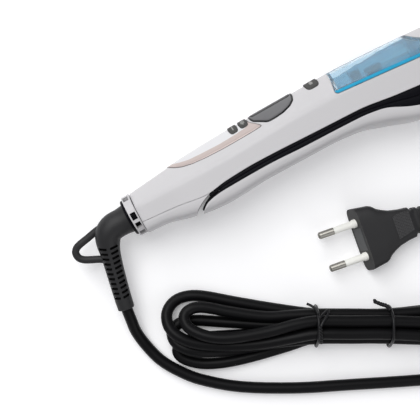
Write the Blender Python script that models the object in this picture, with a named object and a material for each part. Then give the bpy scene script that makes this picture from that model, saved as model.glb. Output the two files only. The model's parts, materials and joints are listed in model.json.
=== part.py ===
"""Steam hair straightener with a swivel cord, lying on its flat side.

Frame: X runs along the handle from tail to tip, Y points towards the crown (display side) and Z is up.
The origin lies on the flat side that the styler rests on, STATION_ORIGIN along the handle.
All sizes below are in millimetres; the meshes are made in metres.
A station is the distance from the tail end, a level is the height along Y, and a reach is the sideways
distance from the mid plane, which lies MID_Z above the floor.
"""
import math

import bmesh
import bpy
from mathutils import Matrix, Vector

MM = 0.001
GAP = 0.3
WALL = 2.0
STATION_ORIGIN = 100.0
MID_Z = 17.0
LENGTH = 300.0

# Levels along the handle, as (station, level).
CROWN = ((0, 11.0), (14, 12.5), (35, 14.7), (58, 15.9), (100, 16.9), (122, 17.4), (150, 16.6), (177, 15.2),
         (220, 12.0), (260, 7.5), (290, 1.5), (300, -2.0))
CREASE = ((0, 3.2), (50, 2.7), (100, 4.6), (150, 4.6), (220, 1.5), (300, -8.0))
UPPER_EDGE = ((0, -5.4), (20, -7.0), (36, -9.0), (48, -7.4), (66, -6.5), (105, -7.4), (125, -7.9), (144, -10.2),
              (162, -11.8), (185, -12.6), (300, -12.6))
SEAM = ((36, -11.0), (48, -9.2), (72, -8.6), (105, -9.3), (122, -9.8), (140, -12.6), (157, -16.4), (174, -17.8),
        (300, -17.8))
LOWER_EDGE = ((28, -17.0), (36, -12.4), (45, -11.2), (72, -10.6), (89, -11.2), (122, -11.8), (135, -13.3),
              (149, -19.2), (157, -21.6), (174, -23.0), (300, -23.0))
BOTTOM = ((0, -12.0), (8, -12.2), (24, -15.8), (35, -17.8), (45, -18.4), (70, -17.0), (105, -17.0), (122, -18.2),
          (137, -22.5), (154, -27.8), (174, -29.5), (250, -29.2), (285, -28.0), (300, -25.5))
HALF_WIDTH = ((0, 11.5), (10, 13.0), (25, 15.3), (45, 17.0), (284, 17.0), (295, 15.0), (300, 11.5))
RIDGE_RADIUS = 4.0

# Arms and their joint.
HINGE = (40.0, -12.9)
HINGE_PIN_R = 1.2
PIN_HALF_LENGTH = 11.6
PIN_GAP = 0.05
KNUCKLE_R = 2.6
EAR_REACH = (7.0, 9.6)
EAR_HALF_LENGTH, EAR_BELOW_PIN = 2.2, 1.9
CHEEK_REACH = (12.1, 13.2)
CHEEK_OUTLINE = ((30.2, -15.0), (30.8, -14.1), (33.2, -12.3), (36.2, -10.7), (39.0, -9.7), (42.2, -9.4),
                 (42.2, -12.2), (36.6, -12.2), (33.0, -13.8), (30.6, -15.8))
PLATE_START, PLATE_END = 187.0, 289.0
PLATE_REACH = 12.5

# Controls on the crown, as (station, half length, half reach).
MINUS_BUTTON = (64.0, 2.35, 6.9)
PLUS_BUTTON = (70.0, 2.35, 6.9)
POWER_BUTTON = (111.6, 4.0, 7.0)
BUTTON_PROUD = 0.7
DISPLAY = (87.0, 12.4, 11.4)

# Tank in the crown of the head.
TANK_START = 120.0
TANK_END_CROWN, TANK_END_SIDE = 166.0, 181.0
TANK_FLOOR = ((120, 4.4), (169, 0.4), (182, -0.4))
TANK_WALL = 1.6
VALVE_STATION = 134.0

# Swivel, boot and hanging loop, with the swivel axis at level 0.
SWIVEL_BORE_R = 6.3
COLLAR_R, COLLAR_BORE_R = 11.3, 8.6
COLLAR_SLOTS = 8
BOOT_DROOP = math.radians(8)
BOOT_ROUTE = ((-5.3, 0.0), (-10.0, 0.0), (-15.4, -0.2), (-19.4, -2.2), (-21.9, -6.4), (-23.9, -13.0), (-26.9, -25.0),
              (-29.4, -36.0), (-30.6, -42.0))
BOOT_RADII = (8.0, 7.3, 7.3, 7.1, 6.4, 5.3, 4.8, 4.6, 4.5)
LOOP_BAR_R = 2.0
LOOP_ROUTE = ((-119.6, 2.6, 16.0), (-124.1, 2.3, 15.5), (-130.2, 1.1, 15.0), (-135.6, 0.1, 14.7), (-138.3, -0.9, 14.4),
              (-139.9, -3.0, 14.2), (-139.6, -5.9, 14.0), (-137.7, -8.0, 13.8), (-134.0, -10.0, 13.8),
              (-130.2, -11.8, 13.8), (-126.4, -14.4, 14.0))

# Mains lead.
CORD_R = 3.1
CORD_Z = 3.2
LEAD_ROUTE = ((-130.7, -42.2, 11.0), (-131.6, -48.5, 9.0), (-132.6, -55.5, 5.8), (-131.6, -65, 3.4),
              (-128.5, -75.5, 3.2), (-122.5, -85.5, 3.2), (-114.2, -95.2, 3.2), (-97.5, -108.6, 3.2),
              (-72, -123.2, 3.2), (-46, -135.4, 3.2), (-10.6, -151.7, 3.2), (19.5, -164.3, 3.2),
              (46, -174.6, 3.2), (66, -181, 3.2), (80, -181.5, 3.2), (87, -174.5, 3.2), (83.5, -167.5, 3.2))
TAIL_ROUTE = ((47.0, -77.3, 8.2), (53.5, -78.6, 6.4), (61, -81, 4.0), (70, -86, 3.2), (79.5, -94, 3.2),
              (87.5, -104.5, 3.2), (93, -117, 3.2), (95.5, -130, 3.2), (94, -143, 3.2), (87.5, -153.4, 3.2))
HANK_ORIGIN = (-46.3, -98.3)
HANK_TURN = math.radians(-28.5)
HANK_OUTLINE = ((-84, 5), (-79, 14), (-66, 19), (-50, 18.5), (-28, 13.5), (0, 9.9), (38, 9.9), (56, 11.5),
                (100, 16), (130, 16.5), (142, 11), (146, 0), (142, -11), (130, -16.5), (100, -15.5), (56, -11.5),
                (38, -9.9), (0, -9.9), (-22, -15), (-42, -20), (-60, -20), (-72, -15), (-81, -6))
HANK_HEIGHT = 18.6
TIE_PLACES = (0.4, 39.6)

# Plug, with its own frame at the middle of its front face.
PLUG_FRONT = (-5.0, -69.0)
PLUG_TURN = math.radians(-9)
PLUG_Z = 7.2
PIN_SPACING = 18.6
PIN_LENGTH = 19.0
SLEEVE_LENGTH = 10.0


# ---------------------------------------------------------------- materials

def material(name, color, roughness, metallic=0.0):
    """A Principled material with one colour."""
    mat = bpy.data.materials.get(name)
    if mat is None:
        mat = bpy.data.materials.new(name)
        mat.use_nodes = True
        shader = mat.node_tree.nodes["Principled BSDF"]
        shader.inputs["Base Color"].default_value = (*color, 1.0)
        shader.inputs["Roughness"].default_value = roughness
        shader.inputs["Metallic"].default_value = metallic
    return mat


def white_plastic():
    return material("white_plastic", (0.72, 0.72, 0.74), 0.3)


def black_plastic():
    return material("black_plastic", (0.012, 0.012, 0.015), 0.35)


def grey_rubber():
    return material("grey_rubber", (0.05, 0.05, 0.055), 0.6)


def cord_rubber():
    return material("cord_rubber", (0.025, 0.025, 0.03), 0.5)


def dark_glass():
    return material("dark_glass", (0.09, 0.09, 0.1), 0.1)


def rose_silver():
    return material("rose_silver", (0.72, 0.62, 0.6), 0.25, 0.6)


def blue_clear():
    return material("blue_clear", (0.2, 0.5, 0.8), 0.08)


def steel():
    return material("steel", (0.6, 0.6, 0.62), 0.25, 1.0)


def brass():
    return material("brass", (0.7, 0.5, 0.2), 0.3, 1.0)


def ceramic():
    return material("ceramic", (0.16, 0.14, 0.15), 0.3, 0.3)


def board_green():
    return material("board_green", (0.02, 0.16, 0.06), 0.5)


def button_grey():
    return material("button_grey", (0.09, 0.09, 0.09), 0.45)


# ---------------------------------------------------------------- shapes

def profile(table, station):
    """Level at a station on the smooth, never overshooting curve through a table's points."""
    station = min(max(station, table[0][0]), table[-1][0])
    spans = [(b[0] - a[0], (b[1] - a[1]) / (b[0] - a[0])) for a, b in zip(table, table[1:])]

    def slope(k):
        if k == 0 or k == len(table) - 1:
            return spans[min(k, len(spans) - 1)][1]
        before, after = spans[k - 1][1], spans[k][1]
        return 0.0 if before * after <= 0 else 2 * before * after / (before + after)

    k = next(i for i in range(len(spans)) if station <= table[i + 1][0])
    width = spans[k][0]
    u = (station - table[k][0]) / width
    start, end = table[k][1], table[k + 1][1]
    rise = (2 * u**3 - 3 * u**2 + 1) * start + (3 * u**2 - 2 * u**3) * end
    return rise + width * ((u**3 - 2 * u**2 + u) * slope(k) + (u**3 - u**2) * slope(k + 1))


def place(station, level, reach):
    """A point of the handle, in metres in the part's frame."""
    return Vector(((station - STATION_ORIGIN) * MM, level * MM, (MID_Z + reach) * MM))


def new_object(name, bm, mat, origin=(0, 0, 0), smooth=True):
    """Make an object of a bmesh given in world metres, with its origin where it is told."""
    bmesh.ops.remove_doubles(bm, verts=bm.verts, dist=1e-6)
    bmesh.ops.recalc_face_normals(bm, faces=bm.faces)
    bmesh.ops.triangulate(bm, faces=bm.faces)
    bm.transform(Matrix.Translation(-Vector(origin)))
    mesh = bpy.data.meshes.new(name)
    bm.to_mesh(mesh)
    bm.free()
    if smooth:
        mesh.shade_smooth()
        mesh.set_sharp_from_angle(angle=math.radians(35))
    mesh.materials.append(mat)
    obj = bpy.data.objects.new(name, mesh)
    obj.location = origin
    bpy.context.collection.objects.link(obj)
    return obj


def skin(rings, closed=False):
    """A bmesh lofted through rings of points; the ends are capped unless the loft closes on itself."""
    bm = bmesh.new()
    loops = [[bm.verts.new(p) for p in ring] for ring in rings]
    pairs = list(zip(loops, loops[1:]))
    if closed:
        pairs.append((loops[-1], loops[0]))
    for a, b in pairs:
        for k in range(len(a)):
            m = (k + 1) % len(a)
            bm.faces.new((a[k], a[m], b[m], b[k]))
    if not closed:
        bm.faces.new(loops[0][::-1])
        bm.faces.new(loops[-1])
    return bm


def box(low, high):
    """A box bmesh in station, level and reach."""
    corners = [[place(s, low[1], low[2]), place(s, high[1], low[2]), place(s, high[1], high[2]),
                place(s, low[1], high[2])] for s in (low[0], high[0])]
    return skin(corners)


def turned(outline, axis_point, axis, sides=24):
    """A solid of revolution: outline holds (distance along the axis, radius) in millimetres."""
    axis = Vector(axis).normalized()
    side = axis.orthogonal().normalized()
    other = axis.cross(side)
    start = Vector(axis_point)
    rings = []
    for along, radius in outline:
        centre = start + axis * along * MM
        rings.append([centre + (side * math.cos(a) + other * math.sin(a)) * radius * MM
                      for a in (2 * math.pi * k / sides for k in range(sides))])
    return skin(rings)


def ring_solid(inner, outer, low, high, axis_point, axis, sides=24):
    """A plain ring about an axis, between two distances along it."""
    axis = Vector(axis).normalized()
    side = axis.orthogonal().normalized()
    other = axis.cross(side)
    start = Vector(axis_point)
    rings = []
    for k in range(sides):
        out = side * math.cos(2 * math.pi * k / sides) + other * math.sin(2 * math.pi * k / sides)
        rings.append([start + axis * z * MM + out * r * MM
                      for r, z in ((inner, low), (outer, low), (outer, high), (inner, high))])
    return skin(rings, closed=True)


def tube(route, radii, sides=12):
    """A tube bmesh through route points in metres, with a radius in millimetres at each."""
    rings = []
    up = Vector((0, 0, 1))
    for k, point in enumerate(route):
        ahead = (route[min(k + 1, len(route) - 1)] - route[max(k - 1, 0)]).normalized()
        side = ahead.cross(up).normalized()
        over = side.cross(ahead)
        rings.append([point + (side * math.cos(a) + over * math.sin(a)) * radii[k] * MM
                      for a in (2 * math.pi * m / sides for m in range(sides))])
    return skin(rings)


def smooth_route(points, steps):
    """Points on a centripetal-like smooth curve through the given ones, steps to each stretch."""
    points = [Vector(p) for p in points]
    ghost = [points[0] * 2 - points[1], *points, points[-1] * 2 - points[-2]]
    route = []
    for k in range(1, len(ghost) - 2):
        a, b, c, d = ghost[k - 1:k + 3]
        for m in range(steps):
            u = m / steps
            route.append(0.5 * (2 * b + (c - a) * u + (2 * a - 5 * b + 4 * c - d) * u**2
                                + (3 * b - a - 3 * c + d) * u**3))
    return route + [points[-1]]


def cutter(obj):
    """Hide an object that only cuts."""
    obj.hide_render = True
    obj.display_type = "WIRE"
    return obj


def cut(obj, tool, operation="DIFFERENCE"):
    """Let one object cut another."""
    change = obj.modifiers.new(tool.name, "BOOLEAN")
    change.operation = operation
    change.solver = "EXACT"
    change.object = tool
    return obj


def cut_with(obj, bm):
    """Cut an object with a bmesh."""
    tool = cutter(new_object(f"cut_{obj.name}_{len(obj.modifiers)}", bm, black_plastic(), smooth=False))
    return cut(obj, tool)


# ---------------------------------------------------------------- sections of the handle

def roof_level(station, reach, inset=0.0):
    """Level of the crown surface, a rounded ridge over straight shoulders."""
    half = profile(HALF_WIDTH, station) - inset
    crown, crease = profile(CROWN, station) - inset, profile(CREASE, station) - 0.4 * inset
    run = math.hypot(half, RIDGE_RADIUS) - RIDGE_RADIUS
    drop = (math.hypot(min(abs(reach), half), RIDGE_RADIUS) - RIDGE_RADIUS) / run
    return crown - (crown - crease) * drop


def upper_section(station, floor, inset=0.0, steps=10):
    """Section of the upper shell down to a floor level."""
    half = profile(HALF_WIDTH, station) - inset
    ring = [place(station, floor, -half)]
    for k in range(steps + 1):
        reach = half * (2 * k / steps - 1)
        ring.append(place(station, roof_level(station, reach, inset), reach))
    ring.append(place(station, floor, half))
    return ring


def lower_section(station, ceiling, inset=0.0, steps=10):
    """Section of the lower shell, a shallow tray with round corners."""
    half, bottom = profile(HALF_WIDTH, station) - inset, profile(BOTTOM, station) + inset
    ring = []
    for k in range(steps + 1):
        a = math.pi * k / steps
        reach = -half * math.copysign(abs(math.cos(a))**0.55, math.cos(a))
        ring.append(place(station, ceiling - (ceiling - bottom) * math.sin(a)**0.55, reach))
    return ring


def stations(start, end, step):
    """Evenly spread stations, ends included."""
    count = max(1, round((end - start) / step))
    return [start + (end - start) * k / count for k in range(count + 1)]


def slab(start, end, low, high, reach, step=12.0):
    """A bar along the handle whose low and high levels may be tables or numbers."""
    def level(value, station):
        return profile(value, station) if isinstance(value, tuple) else value

    def half(station):
        return min(reach, profile(HALF_WIDTH, station) - 0.6)

    return skin([[place(s, level(low, s), -half(s)), place(s, level(high, s), -half(s)),
                  place(s, level(high, s), half(s)), place(s, level(low, s), half(s))]
                 for s in stations(start, end, step)])


def shifted(table, change):
    """A table with all its levels moved."""
    return tuple((station, level + change) for station, level in table)


def patch(outline, low, high, sides=28, rings=3):
    """A thin piece that follows the crown; outline gives (station, reach) at an angle."""
    bm = bmesh.new()
    centre = Vector((sum(outline(2 * math.pi * k / sides)[0] for k in range(sides)) / sides, 0))
    layers = []
    for offset in (low, high):
        hub_level = roof_level(centre[0], 0) + offset
        hub = bm.verts.new(place(centre[0], hub_level, 0))
        loops = []
        for r in range(1, rings + 1):
            loop = []
            for k in range(sides):
                station, reach = outline(2 * math.pi * k / sides)
                station = centre[0] + (station - centre[0]) * r / rings
                reach = reach * r / rings
                loop.append(bm.verts.new(place(station, roof_level(station, reach) + offset, reach)))
            loops.append(loop)
        layers.append((hub, loops))
    for hub, loops in layers:
        for k in range(sides):
            m = (k + 1) % sides
            bm.faces.new((hub, loops[0][k], loops[0][m]))
            for a, b in zip(loops, loops[1:]):
                bm.faces.new((a[k], b[k], b[m], a[m]))
    low_rim, high_rim = layers[0][1][-1], layers[1][1][-1]
    for k in range(sides):
        m = (k + 1) % sides
        bm.faces.new((low_rim[k], low_rim[m], high_rim[m], high_rim[k]))
    return bm


def rounded(centre, half_length, half_reach, grow=0.0, power=4.0):
    """Outline function of a rounded rectangle on the crown."""
    def at(angle):
        c, s = math.cos(angle), math.sin(angle)
        return (centre + (half_length + grow) * math.copysign(abs(c)**(2 / power), c),
                (half_reach + grow) * math.copysign(abs(s)**(2 / power), s))
    return at


def leaf(grow=0.0):
    """Outline function of the leaf inlay: a point at the tail, widening towards the display."""
    start, end = 24.3 - grow, 73.9 + grow
    widest = 11.4 + grow

    def at(angle):
        u = (1 - math.cos(angle)) / 2
        station = start + (end - start) * u
        swell = math.sin(math.pi / 2 * min(1.0, u / 0.4))**0.8 * (0.86 + 0.14 * u)
        closing = 1.0 if u < 0.93 else math.sqrt(max(0.0, 1 - ((u - 0.93) / 0.07)**2))
        return station, math.copysign(widest * swell * closing, math.sin(angle))
    return at


# ---------------------------------------------------------------- handle

def make_upper_shell():
    """White upper housing: open below, with pockets for the tank, display, leaf and buttons."""
    outer = skin([upper_section(s, profile(UPPER_EDGE, s)) for s in stations(0, LENGTH, 11)])
    shell = new_object("upper_shell", outer, white_plastic())
    cut_with(shell, skin([upper_section(s, profile(UPPER_EDGE, s) - 2.0, WALL)
                          for s in stations(WALL, LENGTH - WALL, 14)]))
    cut_with(shell, tank_space(GAP))
    for place_and_size in (MINUS_BUTTON, PLUS_BUTTON, POWER_BUTTON):
        cut_with(shell, patch(rounded(*place_and_size, grow=0.25), -8.0, 6.0, sides=16, rings=1))
    cut_with(shell, patch(rounded(*DISPLAY, grow=0.2, power=2.6), -1.2, 4.0, rings=2))
    cut_with(shell, patch(leaf(0.2), -0.95, 4.0, sides=40, rings=3))
    cut_with(shell, turned(((-1, SWIVEL_BORE_R), (6, SWIVEL_BORE_R)), place(0, 0, 0), (1, 0, 0)))
    return shell


def tank_front(reach, clearance):
    """Station of the tank's front edge, a shallow arch across the crown."""
    half = profile(HALF_WIDTH, TANK_END_CROWN)
    return TANK_END_CROWN + (TANK_END_SIDE - TANK_END_CROWN) * (reach / half)**2 + clearance


def tank_space(clearance, low_shift=0.0, high=40.0, half=24.0, steps=10):
    """Prism over the tank's plan, from its floor upwards."""
    rings = []
    for k in range(steps + 1):
        reach = half * (2 * k / steps - 1)
        limit = max(-17.0, min(17.0, reach))
        front = tank_front(limit, clearance)
        back = TANK_START - clearance
        rings.append([place(back, profile(TANK_FLOOR, back) - clearance - low_shift, reach),
                      place(front, profile(TANK_FLOOR, front) - clearance - low_shift, reach),
                      place(front, high, reach), place(back, high, reach)])
    return skin(rings)


def make_tail_cover():
    """White cover under the tail, with a slanted front edge."""
    outer = skin([lower_section(s, profile(UPPER_EDGE, s) - GAP) for s in stations(0, 36, 6)])
    cover = new_object("tail_cover", outer, white_plastic())
    cut_with(cover, skin([lower_section(s, profile(UPPER_EDGE, s) + 1.0, WALL) for s in stations(WALL, 40, 8)]))
    slant = skin([[place(25.4, -19, r), place(50, -19, r), place(50, -7, r), place(36.4, -8.4, r),
                   place(30.4, -11.8, r)] for r in (-20, 20)])
    cut_with(cover, slant)
    cut_with(cover, turned(((-1, SWIVEL_BORE_R), (6, SWIVEL_BORE_R)), place(0, 0, 0), (1, 0, 0)))
    return cover


def make_leaf():
    """Leaf inlay: a rose silver band round a white panel."""
    trim = new_object("leaf_trim", patch(leaf(0.0), -0.6, 0.15, sides=40, rings=3), rose_silver())
    cut_with(trim, patch(leaf(-2.2), -3.0, 3.0, sides=40, rings=2))
    new_object("leaf_panel", patch(leaf(-2.35), -0.6, 0.1, sides=40, rings=3), white_plastic())


def cut_leaf_for_buttons():
    """Windows in the leaf pieces where the two small buttons pass."""
    for name in ("leaf_trim", "leaf_panel"):
        for size in (MINUS_BUTTON, PLUS_BUTTON):
            cut_with(bpy.data.objects[name], patch(rounded(*size, grow=0.25), -8.0, 6.0, sides=16, rings=1))


def make_display():
    """Dark window, its display module and the board below it."""
    new_object("display_window", patch(rounded(*DISPLAY, power=2.6), -0.9, 0.3), dark_glass())
    new_object("lcd_module", box((77.5, 5.0, -5.5), (96.5, 8.6, 5.5)), dark_glass(), smooth=False)
    new_object("control_board", box((56, 1.0, -11), (117, 2.6, 11)), board_green(), smooth=False)


def make_button(name, size):
    """A button cap on the crown with its stem, travelling down into the handle."""
    station, half_length, half_reach = size
    top = roof_level(station, 0)
    cap = new_object(name, patch(rounded(*size), -2.2, BUTTON_PROUD, sides=24), button_grey(),
                     origin=place(station, top, 0))
    new_object(f"{name}_switch", box((station - 2.0, 2.9, -2.5), (station + 2.0, 6.3, 2.5)), black_plastic(),
               smooth=False)
    stem_top, stem_foot = top - 1.0, 7.1
    stem = turned(((0, 1.5), (stem_top - stem_foot, 1.5)), place(station, stem_foot, 0), (0, 1, 0), 12)
    cut(cap, cutter(new_object(f"{name}_stem", stem, button_grey())), "UNION")
    return cap


def make_upper_frame():
    """Black inner frame of the upper arm, with the plate's pocket and the hinge ears."""
    bar = slab(43.5, 297, shifted(SEAM, 0.4), shifted(UPPER_EDGE, -GAP), 16.2)
    frame = new_object("upper_frame", bar, black_plastic())
    cut_with(frame, box((PLATE_START - 1.0, -30, -PLATE_REACH - 0.6), (PLATE_END + 1.0, -2, PLATE_REACH + 0.6)))
    cut_with(frame, box((PLATE_START + 4, -30, 13.6), (PLATE_END - 4, -2, 15.2)))
    top = profile(UPPER_EDGE, HINGE[0]) + 3.0
    for side, word in ((-1, "left"), (1, "right")):
        low, high = sorted(side * reach for reach in EAR_REACH)
        ear = box((HINGE[0] - EAR_HALF_LENGTH, HINGE[1] - EAR_BELOW_PIN, low), (HINGE[0] + EAR_HALF_LENGTH, top, high))
        cut_with(new_object(f"hinge_ear_{word}", ear, black_plastic(), smooth=False), pin_hole())


def make_upper_head():
    """Heated plate, heater, steam chamber, nozzle strip and comb rail of the upper arm."""
    new_object("upper_plate", slab(PLATE_START, PLATE_END, -17.65, -15.4, PLATE_REACH, 200), ceramic())
    new_object("upper_heater", box((PLATE_START + 8, -15.1, -8), (PLATE_END - 8, -13.6, 8)), steel(),
               smooth=False)
    new_object("steam_chamber", box((196, -13.2, -9), (268, -6.0, 9)), steel(), smooth=False)
    strip = new_object("nozzle_strip", box((PLATE_START + 4.3, -17.3, 13.9), (PLATE_END - 4.3, -13.4, 14.9)),
                       black_plastic(), smooth=False)
    for station in stations(PLATE_START + 12, PLATE_END - 12, 11):
        cut_with(strip, box((station - 2.5, -20, 14.1), (station + 2.5, -15.0, 14.7)))


def make_steam_parts():
    """Tank seat, seal, pump and hose."""
    seat = skin([[place(s, profile(TANK_FLOOR, s) - 3.4, -r), place(s, profile(TANK_FLOOR, s) - 1.4, -r),
                  place(s, profile(TANK_FLOOR, s) - 1.4, r), place(s, profile(TANK_FLOOR, s) - 3.4, r)]
                 for s, r in ((118.5, 14.4), (150, 14.4), (180, 14.4))])
    seat_object = new_object("tank_seat", seat, black_plastic(), smooth=False)
    level = profile(TANK_FLOOR, VALVE_STATION)
    cut_with(seat_object, turned(((-12, 3.3), (6, 3.3)), place(VALVE_STATION, level, 0), (0, 1, 0), 20))
    seal = ring_solid(1.6, 2.9, -3.6, -1.7, place(VALVE_STATION, level, 0), (0, 1, 0), 20)
    new_object("inlet_seal", seal, grey_rubber())
    pump = turned(((0, 3.1), (20, 3.1)), place(122, -4.7, -7), (1, 0, 0), 20)
    new_object("pump", pump, steel())
    hose = [Vector(p) for p in (place(142.6, -4.7, -7), place(152, -5.0, -6), place(164, -6.2, -3),
                                place(178, -8.0, 0), place(195.6, -9.0, 0))]
    new_object("steam_hose", tube(hose, [1.5] * len(hose), 10), grey_rubber())


def make_tank():
    """Clear tank cover, its base, the water, the outlet valve and the filler plug."""
    cover_bm = skin([upper_section(s, profile(TANK_FLOOR, s)) for s in stations(TANK_START, 182, 6.2)])
    cover = new_object("tank_cover", cover_bm, blue_clear())
    shape = cutter(new_object("tank_plan", tank_space(0.0, 2.0), black_plastic(), smooth=False))
    cut(cover, shape, "INTERSECT")
    inside = skin([upper_section(s, profile(TANK_FLOOR, s) - 3.0, TANK_WALL)
                   for s in stations(TANK_START + TANK_WALL, 180, 6.2)])
    hollow = cutter(new_object("tank_hollow", inside, black_plastic(), smooth=False))
    cut(hollow, cutter(new_object("tank_hollow_plan", tank_space(-TANK_WALL, 6.0), black_plastic(),
                                  smooth=False)), "INTERSECT")
    cut(cover, hollow)
    base = new_object("tank_base", tank_fill(2.0, 0.05, 2.0, 14.6), white_plastic(), smooth=False)
    water = new_object("tank_water", tank_fill(2.6, 2.4, 8.4, 11.2), blue_clear(), smooth=False)
    level = profile(TANK_FLOOR, VALVE_STATION)
    for piece in (base, water):
        cut_with(piece, turned(((-6, 3.1), (7.3, 3.1)), place(VALVE_STATION, level, 0), (0, 1, 0), 20))
    valve = turned(((-1.2, 2.4), (0.4, 2.4), (0.4, 2.8), (5.0, 2.8), (6.8, 1.6)), place(VALVE_STATION, level, 0),
                   (0, 1, 0), 20)
    new_object("outlet_valve", valve, black_plastic())


def tank_fill(clearance, low, high, half, steps=8):
    """A block inside the tank between two heights over its floor, fitted under the crown."""
    rings = []
    for k in range(steps + 1):
        reach = half * (2 * k / steps - 1)
        start = TANK_START + clearance
        front = tank_front(reach, -clearance - 0.5)
        columns = (start, (start + front) / 2, front)
        tops = [min(profile(TANK_FLOOR, s) + high, roof_level(s, reach, TANK_WALL) - 1.8) for s in columns]
        floors = [profile(TANK_FLOOR, s) + low for s in columns]
        tops = [max(top, floor + 0.3) for top, floor in zip(tops, floors)]
        rings.append([place(s, f, reach) for s, f in zip(columns, floors)]
                     + [place(s, t, reach) for s, t in zip(columns[::-1], tops[::-1])])
    return skin(rings)


# ---------------------------------------------------------------- lower arm

def arm_origin():
    return place(HINGE[0], HINGE[1], 0)


def make_lower_arm():
    """Lower shell, black inner frame with its knuckle, and the comb rails."""
    outer = skin([lower_section(s, profile(LOWER_EDGE, s)) for s in stations(29, LENGTH, 10)])
    shell = new_object("lower_shell", outer, white_plastic(), origin=arm_origin())
    cut_with(shell, skin([lower_section(s, profile(LOWER_EDGE, s) + 1.5, WALL)
                          for s in stations(34, LENGTH - WALL, 14)]))
    slant = skin([[place(20, -22, r), place(28.4, -22, r), place(29.0, -17.6, r), place(36.2, -11.8, r),
                   place(36.2, -5, r), place(20, -5, r)] for r in (-20, 20)])
    cut_with(shell, slant)
    bar = slab(46.5, 297, shifted(LOWER_EDGE, 0.5), shifted(SEAM, -0.4), 16.2)
    frame = new_object("lower_frame", bar, black_plastic(), origin=arm_origin())
    cut_with(frame, box((PLATE_START - 1.0, -40, -PLATE_REACH - 0.6), (PLATE_END + 1.0, -5, PLATE_REACH + 0.6)))
    for side in (-1, 1):
        cut_with(frame, box((PLATE_START, -20.0, side * 14.5 - 0.9), (PLATE_END, -5, side * 14.5 + 0.9)))
        comb = box((PLATE_START + 0.4, -19.7, side * 14.5 - 0.5), (PLATE_END - 0.4, -18.3, side * 14.5 + 0.5))
        rail = new_object("comb_rail_left" if side < 0 else "comb_rail_right", comb, black_plastic(),
                          origin=arm_origin(), smooth=False)
        for station in stations(PLATE_START + 4, PLATE_END - 4, 7.8):
            cut_with(rail, box((station - 1.2, -19.0, -17), (station + 1.2, -10, 17)))
    knuckle = ring_solid(HINGE_PIN_R + PIN_GAP, KNUCKLE_R, -6.0, 6.0, place(*HINGE, 0), (0, 0, 1), 20)
    new_object("arm_knuckle", knuckle, black_plastic(), origin=arm_origin())
    for side, word in ((-1, "left"), (1, "right")):
        cheek = skin([[place(station, level, side * reach) for station, level in CHEEK_OUTLINE]
                      for reach in CHEEK_REACH])
        new_object(f"arm_cheek_{word}", cheek, black_plastic(), origin=arm_origin(), smooth=False)


def make_lower_plate():
    """Floating plate of the lower arm, with its heater and two cushions."""
    new_object("lower_plate", slab(PLATE_START, PLATE_END, -20.2, -17.95, PLATE_REACH, 200), ceramic())
    new_object("lower_heater", box((PLATE_START + 8, -22.1, -8), (PLATE_END - 8, -20.5, 8)), steel(),
               smooth=False)
    for name, station in (("cushion_rear", PLATE_START + 16), ("cushion_front", PLATE_END - 16)):
        pad = turned(((0, 4.0), (2.6, 3.4)), place(station, -26.3, 0), (0, 1, 0), 16)
        new_object(name, pad, grey_rubber())


def pin_hole():
    """Bore for the hinge pin, right across the handle."""
    return turned(((-20, HINGE_PIN_R + PIN_GAP), (20, HINGE_PIN_R + PIN_GAP)), place(*HINGE, 0), (0, 0, 1), 20)


def make_hinge_pin():
    """Steel pin that carries the lower arm."""
    pin = turned(((-PIN_HALF_LENGTH, HINGE_PIN_R), (PIN_HALF_LENGTH, HINGE_PIN_R)), place(*HINGE, 0), (0, 0, 1), 20)
    new_object("hinge_pin", pin, steel())


def make_arm_lock():
    """Slider on the hidden flat side that holds the arms closed."""
    cut_with(bpy.data.objects["upper_shell"], box((124.0, -6.2, -18.0), (141.0, -2.2, -14.0)))
    new_object("arm_lock", box((124.4, -5.9, -16.7), (135.6, -2.5, -14.4)), button_grey(),
               origin=place(130, -4.2, -16.7), smooth=False)


# ---------------------------------------------------------------- swivel, boot and loop

def make_swivel():
    """Slotted collar on the handle, the turning neck with its flange, slip rings and brushes."""
    axis_start = place(0, 0, 0)
    collar = new_object("swivel_collar", ring_solid(COLLAR_BORE_R, COLLAR_R, -4.7, -GAP, axis_start, (1, 0, 0),
                                                    40), white_plastic())
    for k in range(COLLAR_SLOTS):
        angle = math.radians(50) + 2 * math.pi * k / COLLAR_SLOTS
        slot = box((-3.9, COLLAR_BORE_R - 2, -1.5), (-1.3, COLLAR_R + 2, 1.5))
        turn = Matrix.Rotation(math.pi / 2 - angle, 4, "X")
        slot.transform(Matrix.Translation(axis_start) @ turn @ Matrix.Translation(-axis_start))
        cut_with(collar, slot)
    neck = turned(((-5.0, 8.2), (-0.5, 8.2), (-0.5, 6.0), (2.6, 6.0), (2.6, 8.0), (5.0, 8.0), (5.0, 3.0),
                   (18.0, 3.0)), axis_start, (1, 0, 0), 32)
    new_object("swivel_neck", neck, black_plastic())
    for name, low in (("slip_ring_live", 7.0), ("slip_ring_neutral", 12.0)):
        new_object(name, ring_solid(3.2, 4.6, low, low + 3.0, axis_start, (1, 0, 0), 24), brass())
        block = box((low + 0.5, 4.9, -1.5), (low + 2.5, 7.4, 1.5))
        new_object(name.replace("slip_ring", "brush"), block, brass(), smooth=False)


def droop(point):
    """Turn a point of the boot about the swivel axis, so that the leg leans towards the floor."""
    centre = place(0, 0, 0)
    return centre + Matrix.Rotation(BOOT_DROOP, 3, "X") @ (point - centre)


def make_boot():
    """Elbow-shaped strain relief with the hanging loop moulded to its back."""
    route = smooth_route([droop(place(s, t, 0)) for s, t in BOOT_ROUTE], 2)
    radii = [r[0] for r in smooth_route([(r, 0, 0) for r in BOOT_RADII], 2)]
    boot = new_object("cord_boot", tube(route, radii, 16), grey_rubber())
    bar = smooth_route([Vector(p) * MM for p in LOOP_ROUTE], 3)
    loop = new_object("hang_loop", tube(bar, [LOOP_BAR_R] * len(bar), 10), grey_rubber())
    cut(boot, cutter(loop), "UNION")


# ---------------------------------------------------------------- mains lead and plug

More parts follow.
